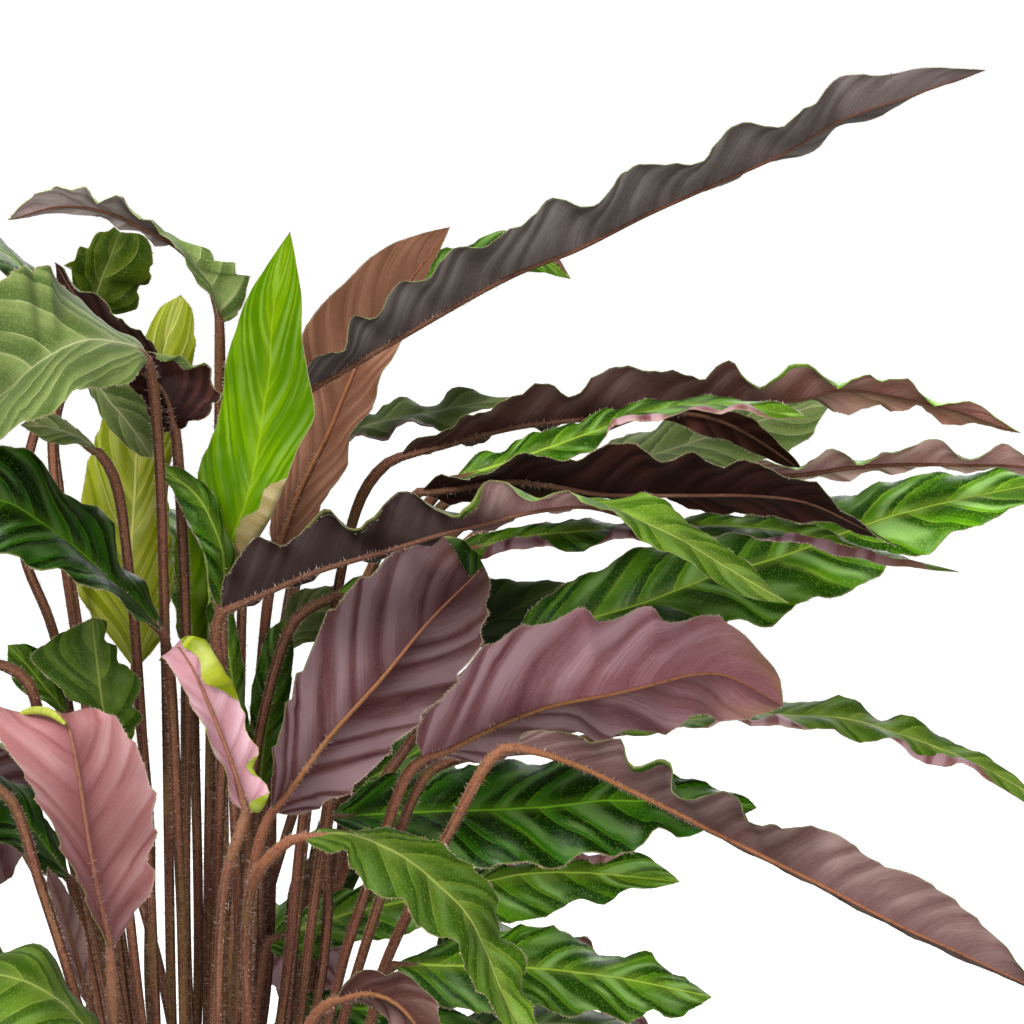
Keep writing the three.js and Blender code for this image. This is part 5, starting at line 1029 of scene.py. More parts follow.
def made_object(name, patches, materials):
    """One mesh object, in metres, from patches laid side by side."""
    points, faces, material, maps = [], [], [], {"Blade": [], "Across": [], "Veins": []}
    start = 0
    for patch in patches:
        points.append(patch["points"])
        faces.append(patch["faces"] + start)
        material.append(patch["material"])
        for key in maps:
            maps[key].append(patch.get(key, np.zeros((len(patch["points"]), 2))))
        start += len(patch["points"])
    points = np.concatenate(points) * MM
    faces = np.concatenate(faces)
    listed = [face[:3] if face[2] == face[3] else face for face in faces.tolist()]
    mesh = bpy.data.meshes.new(name)
    mesh.from_pydata(points.tolist(), [], listed)
    mesh.polygons.foreach_set("material_index", np.concatenate(material).astype(np.int32))
    mesh.polygons.foreach_set("use_smooth", np.ones(len(faces), bool))
    corner = np.zeros(len(mesh.loops), np.int32)
    mesh.loops.foreach_get("vertex_index", corner)
    for key, values in maps.items():
        layer = mesh.uv_layers.new(name=key)
        layer.data.foreach_set("uv", np.concatenate(values)[corner].astype(np.float32).ravel())
    for finish in materials:
        mesh.materials.append(finish)
    mesh.set_sharp_from_angle(angle=SHARP_ANGLE)
    mesh.update()
    made = bpy.data.objects.new(name, mesh)
    bpy.context.scene.collection.objects.link(made)
    return made


# Leaves

FOOT_SWELL = 1.5
FOOT_LENGTH = 28
JOINT_SWELL = 0.55
JOINT_BELOW_BLADE = 12
JOINT_LENGTH = 30
JOINT_SLOPE = 2.2
STALK_SIDES = 8
STALK_SMOOTHED = 2
BALD_FOOT = 4
CURVE_SAMPLES = 240
COARSE_ROWS = 41
FEWEST_ROWS = 28
FEWEST_RINGS = 12
TURN_IN = 0.03
RIB_RADIUS = 1.15
RIB_TIP_RADIUS = 0.2
RIB_SHOWS = 0.12
RIB_SINKS_BY = 0.07


def stalk_radius(below_blade, above_foot):
    """Thick in its sheath at the foot, and swollen in the joint under the blade."""
    foot = FOOT_SWELL * np.exp(-above_foot / FOOT_LENGTH)
    from_joint = (below_blade - JOINT_BELOW_BLADE) / JOINT_LENGTH * JOINT_SLOPE
    return STALK_RADIUS + foot + JOINT_SWELL * np.exp(-from_joint ** 2)


def stalk_and_rib(rib, shares, bends, spot, under):
    """The path and radii of a stalk and of the rib that runs on under the blade.

    With them come the stalk's own length and the rows that bear hairs."""
    start = [np.array([*spot, FOOT_START]), np.array([*spot, STALK_STRAIGHT_TO])]
    turn_in = rib[max(1, round(len(rib) * TURN_IN))]
    control = start + bends + [rib[0], turn_in]
    last = (len(control) - 2) / (len(control) - 1)
    samples = on_curve(control, np.linspace(0, last, CURVE_SAMPLES))
    lengths = lengths_along(samples)
    rings = max(FEWEST_RINGS, round(lengths[-1] / RING_SPACING))
    places = np.linspace(0, lengths[-1], rings)
    stalk = np.stack([np.interp(places, lengths, samples[:, k]) for k in range(3)], 1)
    stalk_radii = stalk_radius(lengths[-1] - places, places)
    rib_steps = np.arange(1, len(rib), 2)
    sunk = np.clip(shares[rib_steps] / RIB_SINKS_BY, 0, 1)
    rib_radii = RIB_RADIUS * (1 - shares[rib_steps]) ** 0.7 + RIB_TIP_RADIUS
    sink = np.maximum(rib_radii - RIB_SHOWS, 0) * sunk
    path = np.vstack([stalk, rib[rib_steps] + under[rib_steps] * sink[:, None]])
    radii = np.concatenate([stalk_radii, rib_radii])
    radii[:-2] = smoothed(radii, STALK_SMOOTHED)[:-2]
    hairy = slice(BALD_FOOT, len(stalk) + len(rib_steps) // 3)
    return path, radii, lengths[-1], hairy


def leaf_patches(leaf, rows_of, bends, spot, seed):
    """A leaf's blade, its stalk with the rib under the blade, and the hairs of both."""
    coarse = rows_of(leaf, np.linspace(0, 1, COARSE_ROWS))[1]
    spacing = TOOTHED_ROWS if leaf["toothed"] else ROW_SPACING
    row_count = max(FEWEST_ROWS, round(lengths_along(coarse)[-1] / spacing))
    shares = np.linspace(0, 1, row_count)
    rows = rows_of(leaf, shares)
    blade = blade_patch(rows, shares, leaf, seed)
    under = -blade["middle_way"] * facing(leaf)
    path, radii, stalk_length, hairy = stalk_and_rib(rows[1], shares, bends, spot, under)
    tube = tube_patch(path, radii, STALK_SIDES, STALK, -stalk_length)
    hairs = stalk_hairs(path[hairy], radii[hairy], tube["outward"][hairy], tube["along"][hairy],
                        seed + STALK_HAIR_SEED)
    patches = [blade, tube, hairs, *margin_hairs(blade["edges"], seed + MARGIN_HAIR_SEED)]
    if leaf["lip"]:
        lip = on_curve(from_photo(*np.array(leaf["lip"]).T), np.linspace(0, 1, LIP_RINGS))
        lip_radii = LIP_RADIUS * np.sin(np.pi * np.linspace(0.06, 0.94, LIP_RINGS)) ** 0.6
        patches.append(tube_patch(lip, lip_radii, STALK_SIDES, OTHER_FACE, 0))
        patches[-1]["Across"] = np.tile([0.5, 1.0], (len(patches[-1]["points"]), 1))
    return patches


def leaf_piece(name, patches, leaf, finishes):
    """The piece that stands in for a leaf or a shoot, in its four finishes."""
    seen = leaf["seen"]
    usual = "purple" if seen in TOP_FACES else "green"
    listed = (leaf.get("finish", seen), leaf.get("other", usual), leaf["stalk_finish"], "hair")
    piece = made_object("fine_" + name, patches, [finishes[key] for key in listed])
    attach(piece, "root")
    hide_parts(name)


def photo_leaf(leaf, finishes, seed):
    """A leaf that the photograph shows."""
    patches = leaf_patches(leaf, rows_from_photo, stalk_bends(leaf), leaf["foot"], seed)
    leaf_piece(leaf["name"], patches, leaf, finishes)


def shoot(plan, finishes, seed):
    """A shoot of plain green leaves."""
    patches = []
    for place, plan_leaf in enumerate(plan["leaves"]):
        leaf = {**USUAL, "seen": "green", **plan_leaf}
        bends = shoot_bends(leaf, plan["foot"])
        patches += leaf_patches(leaf, rows_of_arch, bends, plan["foot"],
                                seed + SEED_STEP_IN_SHOOT * place)
    leaf_piece(plan["name"], patches, leaf, finishes)


# Materials

def arithmetic(operation, swapped=False):
    """A Value's method that adds a math node, with the other value first if they are swapped."""
    def result(self, *others):
        node = self.maker.nodes.new("ShaderNodeMath")
        node.operation = operation
        values = (*others, self) if swapped else (self, *others)
        for place, value in enumerate(values):
            self.maker.feed(node.inputs[place], value)
        return Value(self.maker, node.outputs[0])
    return result


class Value:
    """A node's output, wrapped so that shader arithmetic reads as an expression."""

    def __init__(self, maker, socket):
        self.maker = maker
        self.socket = socket

    __add__ = arithmetic("ADD")
    __sub__ = arithmetic("SUBTRACT")
    __mul__ = arithmetic("MULTIPLY")
    __pow__ = arithmetic("POWER")
    __radd__ = arithmetic("ADD", swapped=True)
    __rsub__ = arithmetic("SUBTRACT", swapped=True)
    __rmul__ = arithmetic("MULTIPLY", swapped=True)
    sign = arithmetic("SIGN")
    size = arithmetic("ABSOLUTE")
    sine = arithmetic("SINE")
    cosine = arithmetic("COSINE")
    fraction = arithmetic("FRACT")

    def ramp(self, start, end):
        """0 below start and 1 above end, smoothly between. Start may be above end."""
        low, high = (start, end) if start < end else (end, start)
        node = self.maker.node("ShaderNodeMapRange", {"interpolation_type": "SMOOTHSTEP"},
                               {"Value": self, "From Min": low, "From Max": high})
        value = Value(self.maker, node.outputs["Result"])
        return value if start < end else 1 - value


class Finish:
    """A material under construction, with its Principled shader and short names for its maps."""

    def __init__(self, name, **settings):
        self.material = bpy.data.materials.new(name)
        self.material.use_nodes = True
        tree = self.material.node_tree
        self.nodes = tree.nodes
        self.links = tree.links
        self.shader = self.nodes["Principled BSDF"]
        for socket, value in settings.items():
            self.shader.inputs[socket.replace("_", " ")].default_value = value

    def feed(self, socket, value):
        """Links a Value to a socket, or sets the socket's own value."""
        if isinstance(value, Value):
            self.links.new(value.socket, socket)
        elif socket.type == "RGBA":
            socket.default_value = (*value, 1)
        else:
            socket.default_value = value

    def node(self, kind, settings=None, inputs=None):
        """A new node with its settings, and its inputs fed."""
        node = self.nodes.new(kind)
        for name, value in (settings or {}).items():
            setattr(node, name, value)
        for name, value in (inputs or {}).items():
            self.feed(node.inputs[name], value)
        return node

    def place(self):
        """The point's place in the piece's own frame, in metres."""
        return Value(self, self.node("ShaderNodeTexCoord").outputs["Object"])

    def column(self):
        """The same place with its height squeezed, so that a pattern runs up and down."""
        split = self.node("ShaderNodeSeparateXYZ", {}, {"Vector": self.place()}).outputs
        x, y, z = [Value(self, split[axis]) for axis in "XYZ"]
        return self.point(x, y, z * 0.12)

    def map(self, name):
        """Both values of one of the piece's maps."""
        split = self.node("ShaderNodeSeparateXYZ", {}, {
            "Vector": Value(self, self.node("ShaderNodeUVMap", {"uv_map": name}).outputs["UV"])})
        return Value(self, split.outputs["X"]), Value(self, split.outputs["Y"])

    def point(self, x, y, z=0.0):
        node = self.node("ShaderNodeCombineXYZ", {}, {"X": x, "Y": y, "Z": z})
        return Value(self, node.outputs["Vector"])

    def noise(self, where, scale, detail=3.0, roughness=0.55):
        """Smooth random values about 0.5."""
        node = self.node("ShaderNodeTexNoise", {}, {
            "Vector": where, "Scale": scale, "Detail": detail, "Roughness": roughness})
        return Value(self, node.outputs["Fac"])

    def mix(self, share, first, second, blend="MIX"):
        node = self.node("ShaderNodeMix", {"data_type": "RGBA", "blend_type": blend})
        self.feed(node.inputs[0], share)
        self.feed(node.inputs[6], first)
        self.feed(node.inputs[7], second)
        return Value(self, node.outputs[2])

    def scaled(self, base, share):
        node = self.node("ShaderNodeVectorMath", {"operation": "SCALE"},
                         {"Vector": base, "Scale": share})
        return Value(self, node.outputs["Vector"])

    def bump(self, height, distance, strength):
        node = self.node("ShaderNodeBump", {}, {
            "Height": height, "Distance": distance, "Strength": strength})
        self.links.new(node.outputs["Normal"], self.shader.inputs["Normal"])

    def show(self, base, roughness=None):
        """The finished material, with its colour and roughness joined to the shader."""
        self.feed(self.shader.inputs["Base Color"], base)
        if roughness is not None:
            self.feed(self.shader.inputs["Roughness"], roughness)
        return self.material


def colour(red, green, blue):
    """A colour given as it looks, 0 to 255, as the shader's linear values."""
    def linear(value):
        value /= 255
        return value / 12.92 if value <= 0.04045 else ((value + 0.055) / 1.055) ** 2.4
    return linear(red), linear(green), linear(blue)


def vein_number(finish, from_rib):
    """The same count of side veins as the blade's pleats have: whole numbers lie at veins."""
    count, swept = finish.map("Veins")
    side = from_rib.sign()
    steps = swept * count
    slow = (steps * (2 * math.pi * SLOW_WAVE) + side * 1.7 + count).sine() * VEIN_DRIFT
    return steps + slow + (steps * (2 * math.pi * FAST_WAVE) + side * 2.3).sine() * VEIN_JITTER


# The first is the colour of the sheen painted on the upper faces' pleats.
PAINTED_SHEEN = (140, 178, 102)
STRAW = colour(168, 160, 104)
FRINGE = colour(182, 168, 138)
DRIED = colour(132, 100, 62)
STALK_OLIVE = colour(124, 98, 54)
STALK_RED = colour(116, 60, 54)
STALK_FUZZ = colour(170, 126, 84)

# Patterns' scales are to a metre
VELVET_SCALE = 1100.0
TOP_CLOUD_SCALE = 30.0
UNDER_CLOUD_SCALE = 26.0
RIB_MM = 0.75
TOP_BUMP = 0.0004
BUMP_DEPTH = 0.0005


def leaf_top(name, deep, pale, line, *, rough, shine=0.08, gloss=0.0, sheen=0.0, lines=0.5,
             streaks=0.0, mottle=0.5, painted_sheen=0.0, satin=PAINTED_SHEEN, dots=0.2, rib=0.85):
    """A leaf's upper face: a soft band of painted light beside each side vein that fades to painted
    shade, painted sheen on the pleats' ridges, a fine pale rib, velvety dots.
    """
    finish = Finish(name, Coat_Roughness=0.3, Sheen_Weight=sheen, Sheen_Roughness=0.35,
                    Specular_IOR_Level=shine)
    deep, pale, line = colour(*deep), colour(*pale), colour(*line)
    share, from_rib = finish.map("Blade")
    beyond, tone_and_shade = finish.map("Across")
    vein = vein_number(finish, from_rib)
    where = finish.place()
    cloud = finish.noise(where, TOP_CLOUD_SCALE)
    velvet = finish.noise(where, VELVET_SCALE, 1.0)
    within = vein.fraction()
    grain = finish.noise(finish.point(vein * 9.0, beyond * 1.6), 1.0, 3.0)
    patchy = finish.noise(finish.point(vein * 0.8, beyond * 1.6 + share * 3.0), 1.0, 2.0)
    # Painted shade of the pleats: light beside each side vein, fading towards the next vein.
    painted_pleat_light = within.ramp(0.9, 0.0) * (0.3 + patchy * 1.2)
    light = (painted_pleat_light * 0.7 + (cloud - 0.5) * 1.8 * mottle + (grain - 0.5) * 0.6 + 0.05).ramp(0.0, 1.0)
    base = finish.mix(light, deep, pale)
    # Painted sheen: a pale sheen colour painted in patches on the pleats' ridges.
    glints = finish.noise(finish.point(vein * 0.8, beyond * 0.8 + share * 0.6), 1.0, 2.0)
    painted_sheen_ridges = within.ramp(0.1, 0.32) * within.ramp(0.74, 0.42) * glints.ramp(0.44, 0.6)
    base = finish.mix(painted_sheen_ridges * painted_sheen, base, colour(*satin))
    base = finish.mix(velvet.ramp(0.5, 0.72) * dots, base, line)
    nerve = (within - 0.5).size().ramp(0.44, 0.495) * beyond.ramp(1.0, 0.55)
    nerve = nerve * patchy.ramp(0.3, 0.6)
    base = finish.mix(nerve * lines, base, line)
    stretched = finish.noise(finish.point(vein * 2.2 + beyond * 0.4, beyond * 0.5), 1.0, 4.0)
    streak = stretched.ramp(0.52, 0.68)
    base = finish.mix(streak * streaks, base, line)
    on_rib = (from_rib.size() - RIB_MM * (1 - share) ** 0.5).ramp(0.35, -0.15)
    near_rib = from_rib.size().ramp(6.0, 0.8)
    base = finish.mix(near_rib * 0.2, base, line)
    base = finish.mix(on_rib * rib, base, line)
    # The colours are scaled by how light the leaf is painted here, partly its own lightness and
    # partly painted light and shade.
    base = finish.mix(beyond.ramp(0.97, 0.99) * 0.35, finish.scaled(base, tone_and_shade), STRAW)
    finish.bump(grain * 0.4 + velvet * 0.35 + on_rib * 0.8 - nerve * 0.3, TOP_BUMP, 0.8)
    finish.feed(finish.shader.inputs["Coat Weight"], streak * gloss)
    return finish.show(base, rough + (velvet - 0.5) * 0.3 + (cloud - 0.5) * 0.15)


def leaf_under(name, body, light, groove, *, depth, crest_light=1.0, calm=0.6, tip=0.0):
    """A leaf's lower face: silky, each pleat painted light towards the tip and dark in its soft
    groove, whose dark red is deepened with painted shade.
    """
    finish = Finish(name, Sheen_Weight=0.03, Sheen_Roughness=0.35, Specular_IOR_Level=0.1)
    body, light, groove = colour(*body), colour(*light), colour(*groove)
    share, from_rib = finish.map("Blade")
    beyond, tone_and_shade = finish.map("Across")
    vein = vein_number(finish, from_rib)
    where = finish.place()
    cloud = finish.noise(where, UNDER_CLOUD_SCALE)
    velvet = finish.noise(where, VELVET_SCALE, 1.0)
    within = vein.fraction()
    grain = finish.noise(finish.point(vein * 14.0, beyond * 1.6), 1.0, 4.0, 0.7)
    patchy = finish.noise(finish.point(vein * 0.7, beyond * 1.4), 1.0, 2.0)
    folded = 1 - share.ramp(0.9 - calm * 0.6, 0.95) * calm
    # Painted light on the middle of each pleat, stronger towards the margin.
    painted_crest_light = within.ramp(0.0, 0.22) * within.ramp(0.9, 0.25) * (0.1 + beyond * 0.9 + patchy * 0.5)
    silk_and_painted_light = painted_crest_light * folded * crest_light + (grain - 0.5) * 1.1 + (cloud - 0.5) * 0.9 + 0.15
    silk_and_painted_light = silk_and_painted_light.ramp(0.0, 1.0)
    base = finish.mix(silk_and_painted_light, body, light)
    # Painted shade deepens the dark red groove at each vein.
    groove_shade = within.ramp(0.62, 0.87) * within.ramp(1.0, 0.9)
    groove_shade = groove_shade * (0.1 + patchy.ramp(0.38, 0.62) * 0.9)
    base = finish.mix(groove_shade * folded * depth * (0.4 + grain), base, groove)
    base = finish.mix(velvet.ramp(0.45, 0.75) * 0.16, base, light)
    base = finish.mix((from_rib.size() - 1.2).ramp(11.0, 0.0) * 0.35, base, groove)
    base = finish.mix(share.ramp(0.7, 1.0) * beyond.ramp(0.2, 1.0) * tip, base, DRIED)
    # The colours are scaled by how light the leaf is painted here, partly its own lightness and
    # partly painted light and shade.
    base = finish.scaled(base, tone_and_shade)
    fringe = finish.noise(finish.point(vein * 30.0, beyond * 9.0), 1.0, 1.0).ramp(0.46, 0.62)
    base = finish.mix(beyond.ramp(0.965, 0.99) * (0.15 + fringe * 0.6), base, FRINGE)
    finish.bump(grain * 0.25 + velvet * 0.3 - groove_shade * 0.6, BUMP_DEPTH, 0.7)
    return finish.show(base, 0.5 + (velvet - 0.5) * 0.25 + (cloud - 0.5) * 0.15)


def stalk_finish(name, dark, light, flush, rib):
    """Leaf stalk: streaked along its length, with painted highlight and shade lines running along
    it, flushed with a warmer colour under the blade.
    """
    finish = Finish(name, Sheen_Weight=0.05, Specular_IOR_Level=0.2)
    dark, light, flush, rib = colour(*dark), colour(*light), colour(*flush), colour(*rib)
    along, turn = finish.map("Blade")
    around = finish.point(turn.cosine() * 2.2, turn.sine() * 2.2, along * 0.012)
    streak = finish.noise(around, 1.7, 4.0)
    flecks = finish.noise(finish.place(), 420.0, 2.0)
    fuzz = finish.noise(finish.point(turn.cosine() * 5.0, turn.sine() * 5.0, along * 1.6), 1.0, 1.0)
    own = finish.noise(finish.column(), 90.0, 1.0)
    # Painted highlight and painted shade in lines along the stalk, three of each round it.
    painted_highlight_and_shade = (turn * 3.0).cosine()
    base = finish.mix(streak.ramp(0.42, 0.62), dark, light)
    base = finish.mix(painted_highlight_and_shade.ramp(0.4, 1.0) * 0.45, base, light)
    base = finish.mix(painted_highlight_and_shade.ramp(-0.2, -0.9) * 0.6, base, dark)
    base = finish.mix(own.ramp(0.54, 0.64) * 0.55, base, STALK_OLIVE)
    base = finish.mix(own.ramp(0.48, 0.38) * 0.45, base, STALK_RED)
    base = finish.mix(along.ramp(-60.0, -8.0) * 0.65, base, flush)
    base = finish.mix(along.ramp(0.0, 25.0) * 0.8, base, rib)
    base = finish.mix(along.ramp(40.0, 110.0) * 0.65, base, flush)
    base = finish.mix(flecks.ramp(0.52, 0.72) * 0.5, base, dark)
    base = finish.mix(fuzz.ramp(0.5, 0.66) * 0.45, base, STALK_FUZZ)
    base = finish.mix(fuzz.ramp(0.46, 0.34) * 0.5, base, dark)
    finish.bump(streak * 0.8 + flecks * 0.5, BUMP_DEPTH, 0.8)
    return finish.show(base, 0.5 + (flecks - 0.5) * 0.3)


def hair_finish():
    """Hairs of the stalks, pale and faintly straw-coloured."""
    finish = Finish("Stalk hair, pale", Sheen_Weight=0.3)
    tint = finish.noise(finish.place(), 600.0, 2.0)
    base = finish.mix(tint.ramp(0.3, 0.7), colour(176, 138, 122), colour(226, 208, 190))
    return finish.show(base, 0.55 + (tint - 0.5) * 0.2)


# The finishes of the leaves' faces and stalks, by their names in the leaves' list. The upper faces'
# pleats carry a painted sheen colour.
TOPS = {
    "dark": ("Leaf top, dark green", (8, 34, 0), (44, 98, 8), (112, 164, 34),
             {"rough": 0.4, "gloss": 0.4, "lines": 0.35, "painted_sheen": 0.28}),
    "grey": ("Leaf top, velvet grey-green", (78, 98, 44), (128, 146, 82), (176, 182, 128),
             {"rough": 0.62, "sheen": 0.12, "lines": 0.7}),
    "green": ("Leaf top, velvet green", (22, 58, 0), (72, 118, 10), (146, 176, 60),
              {"rough": 0.42, "gloss": 0.25, "lines": 0.35, "painted_sheen": 0.52}),
    "moss": ("Leaf top, moss green", (46, 70, 0), (90, 108, 16), (150, 162, 84),
             {"rough": 0.48, "lines": 0.55}),
    "lime": ("Leaf top, new lime green", (78, 122, 0), (114, 154, 0), (160, 192, 30),
             {"rough": 0.36, "shine": 0.03, "gloss": 0.4, "mottle": 1.3, "lines": 0.03,
              "streaks": 0.05, "painted_sheen": 0.3, "satin": (156, 192, 96), "dots": 0.03, "rib": 0.4}),
    "yellow": ("Leaf top, new yellow green", (122, 136, 8), (172, 178, 40), (214, 216, 120),
               {"rough": 0.42, "shine": 0.1, "gloss": 0.1, "lines": 0.1, "streaks": 0.45,
                "painted_sheen": 0.3, "satin": (206, 214, 128), "dots": 0.08}),
    "olive": ("Leaf top, olive green", (52, 84, 6), (98, 128, 34), (160, 178, 84),
              {"rough": 0.5, "sheen": 0.06, "lines": 0.3, "painted_sheen": 0.2}),
}
UNDERS = {
    "charcoal": ("Leaf underside, charcoal", (80, 70, 67), (124, 116, 113), (50, 34, 34),
                 {"depth": 0.3, "crest_light": 0.5}),
    "copper": ("Leaf underside, copper", (120, 80, 60), (170, 124, 98), (78, 44, 30),
               {"depth": 0.2, "crest_light": 0.4}),
    "maroon": ("Leaf underside, maroon", (46, 21, 15), (86, 50, 42), (26, 8, 8),
               {"depth": 0.4, "crest_light": 0.6}),
    "plum": ("Leaf underside, plum", (124, 80, 84), (170, 134, 142), (86, 36, 42),
             {"depth": 0.8, "crest_light": 0.85, "calm": 0.95, "tip": 0.6}),
    "purple": ("Leaf underside, purple", (120, 71, 71), (172, 137, 142), (76, 26, 30),
               {"depth": 0.9, "tip": 0.6}),
    "wine": ("Leaf underside, wine", (92, 58, 52), (140, 108, 102), (58, 28, 26),
             {"depth": 0.3, "crest_light": 0.5}),
    "mauve": ("Leaf underside, mauve", (122, 90, 86), (170, 142, 136), (86, 50, 52),
              {"depth": 0.35, "crest_light": 0.5}),
    "pink": ("Leaf underside, pink", (174, 112, 110), (202, 152, 154), (124, 54, 62),
             {"depth": 0.45, "crest_light": 0.5}),
    "lilac": ("Leaf underside, lilac pink", (194, 142, 150), (222, 186, 196), (150, 92, 98),
              {"depth": 0.3, "crest_light": 0.5}),
    "beige": ("Leaf underside, pale", (146, 128, 80), (190, 176, 130), (116, 96, 58),
              {"depth": 0.15, "crest_light": 0.35}),
}
STALKS = {
    "stalk": ("Stalk, dark maroon", (62, 30, 21), (150, 100, 74), (100, 60, 46), (88, 54, 40)),
    "warm stalk": ("Stalk, warm rust", (76, 38, 28), (148, 100, 76), (160, 98, 72), (146, 96, 52)),
    "rose stalk": ("Stalk, rose", (76, 40, 30), (150, 102, 78), (164, 110, 88), (156, 100, 84)),
}


def plant_finishes():
    """Every finish of the plant, by its name in the leaves' list."""
    tops = {key: leaf_top(*row[:-1], **row[-1]) for key, row in TOPS.items()}
    unders = {key: leaf_under(*row[:-1], **row[-1]) for key, row in UNDERS.items()}
    stalks = {key: stalk_finish(*row) for key, row in STALKS.items()}
    return {**tops, **unders, **stalks, "hair": hair_finish()}


def pot_finish():
    """Moulded grow-pot plastic, charcoal, with fine grain, faint scuffs and dust near the foot."""
    finish = Finish("Pot plastic, charcoal", Specular_IOR_Level=0.45)
    where = finish.place()
    grain = finish.noise(where, 900.0, 2.0)
    scuff = finish.noise(where, 28.0, 5.0, 0.7)
    height = Value(finish, finish.node("ShaderNodeSeparateXYZ", {}, {"Vector": where}).outputs["Z"])
    base = finish.mix(scuff.ramp(0.35, 0.8), colour(50, 48, 46), colour(78, 75, 71))
    dust = (height * -22.0 + 0.75 + (scuff - 0.5) * 1.2).ramp(0.2, 1.0)
    base = finish.mix(dust * 0.35, base, colour(120, 108, 92))
    finish.bump(grain * 0.6 + scuff * 0.4, 0.0003, 0.5)
    return finish.show(base, 0.42 + (scuff - 0.5) * 0.4)


def soil_finish():
    """Potting soil, dark brown, with fibres and damp patches."""
    finish = Finish("Soil, dark and crumbly", Specular_IOR_Level=0.25)
    where = finish.place()
    crumbs = finish.noise(where, 330.0, 5.0, 0.7)
    patches = finish.noise(where, 34.0, 3.0)
    fibres = finish.noise(where, 120.0, 6.0, 0.8)
    base = finish.mix(crumbs.ramp(0.3, 0.7), colour(34, 24, 18), colour(84, 62, 46))
    base = finish.mix(fibres.ramp(0.58, 0.66) * 0.6, base, colour(122, 92, 62))
    base = finish.mix(patches.ramp(0.4, 0.65) * 0.4, base, colour(30, 22, 17))
    finish.bump(crumbs + fibres * 0.6, 0.0016, 0.9)
    return finish.show(base, 0.85 + (patches - 0.5) * 0.3)


def grit_finish():
    """White expanded grit mixed into the soil."""
    finish = Finish("Soil grit, white", Specular_IOR_Level=0.3)
    where = finish.place()
    pores = finish.noise(where, 700.0, 4.0, 0.7)
    base = finish.mix(pores.ramp(0.3, 0.6), colour(168, 158, 142), colour(226, 222, 212))
    finish.bump(pores, 0.0006, 0.8)
    return finish.show(base, 0.8 + (pores - 0.5) * 0.2)


def crown_finish():
    """The clump's woody foot, brown and fibrous."""
    finish = Finish("Crown, woody brown", Specular_IOR_Level=0.25)
    where = finish.place()
    fibres = finish.noise(where, 90.0, 6.0, 0.75)
    flecks = finish.noise(where, 500.0, 3.0)
    base = finish.mix(fibres.ramp(0.3, 0.7), colour(66, 46, 32), colour(128, 98, 66))
    base = finish.mix(flecks.ramp(0.5, 0.75) * 0.4, base, colour(44, 30, 22))
    finish.bump(fibres + flecks * 0.5, 0.0012, 0.8)
    return finish.show(base, 0.85 + (flecks - 0.5) * 0.2)


# Pot and soil

POT_SIDES = 96
POT_SMOOTH_ANGLE = math.radians(32)
POT_BEVEL = 0.35
POT_BEVEL_ANGLE = math.radians(35)
SOIL_RINGS = 34
CRUMBS = 900
GRIT_CRUMBS = 90
CRUMB_ROUGHNESS = 0.22
CRUMB_SEED = 41


def wall_radius(height):
    """The pot's outer radius at a height."""
    return POT_BASE_RADIUS + (POT_TOP_RADIUS - POT_BASE_RADIUS) * height / POT_HEIGHT


def start_disc(name, radius, height):
    """A filled disc, left in edit mode with its face selected."""
    bpy.ops.object.select_all(action="DESELECT")
    bpy.ops.mesh.primitive_circle_add(vertices=POT_SIDES, radius=radius * MM, fill_type="NGON",
                                      location=(0, 0, 0))
    disc = bpy.context.object
    disc.name = name
    disc.data.name = name
    bpy.ops.object.mode_set(mode="EDIT")
    bpy.ops.mesh.select_all(action="SELECT")
    bpy.ops.transform.translate(value=(0, 0, height * MM))
    return disc


def extrude_to(profile, radius, height):
    """Extrudes the selected face through rings of [radius, height]."""
    for ring_radius, ring_height in profile:
        bpy.ops.mesh.extrude_region_move(
            TRANSFORM_OT_translate={"value": (0, 0, (ring_height - height) * MM)})
        ratio = ring_radius / radius
        bpy.ops.transform.resize(value=(ratio, ratio, 1), center_override=(0, 0, ring_height * MM))
        radius, height = ring_radius, ring_height


def apply_all(piece):
    """Applies the piece's modifiers in their order."""
    bpy.ops.object.select_all(action="DESELECT")
    piece.select_set(True)
    bpy.context.view_layer.objects.active = piece
    for modifier in list(piece.modifiers):
        bpy.ops.object.modifier_apply(modifier=modifier.name)


def cut_with(piece, cutter):
    """Cuts the cutter's form out of the piece, and removes the cutter."""
    cut = piece.modifiers.new("Cut", "BOOLEAN")
    cut.operation = "DIFFERENCE"
    cut.object = cutter
    apply_all(piece)
    bpy.data.objects.remove(cutter)


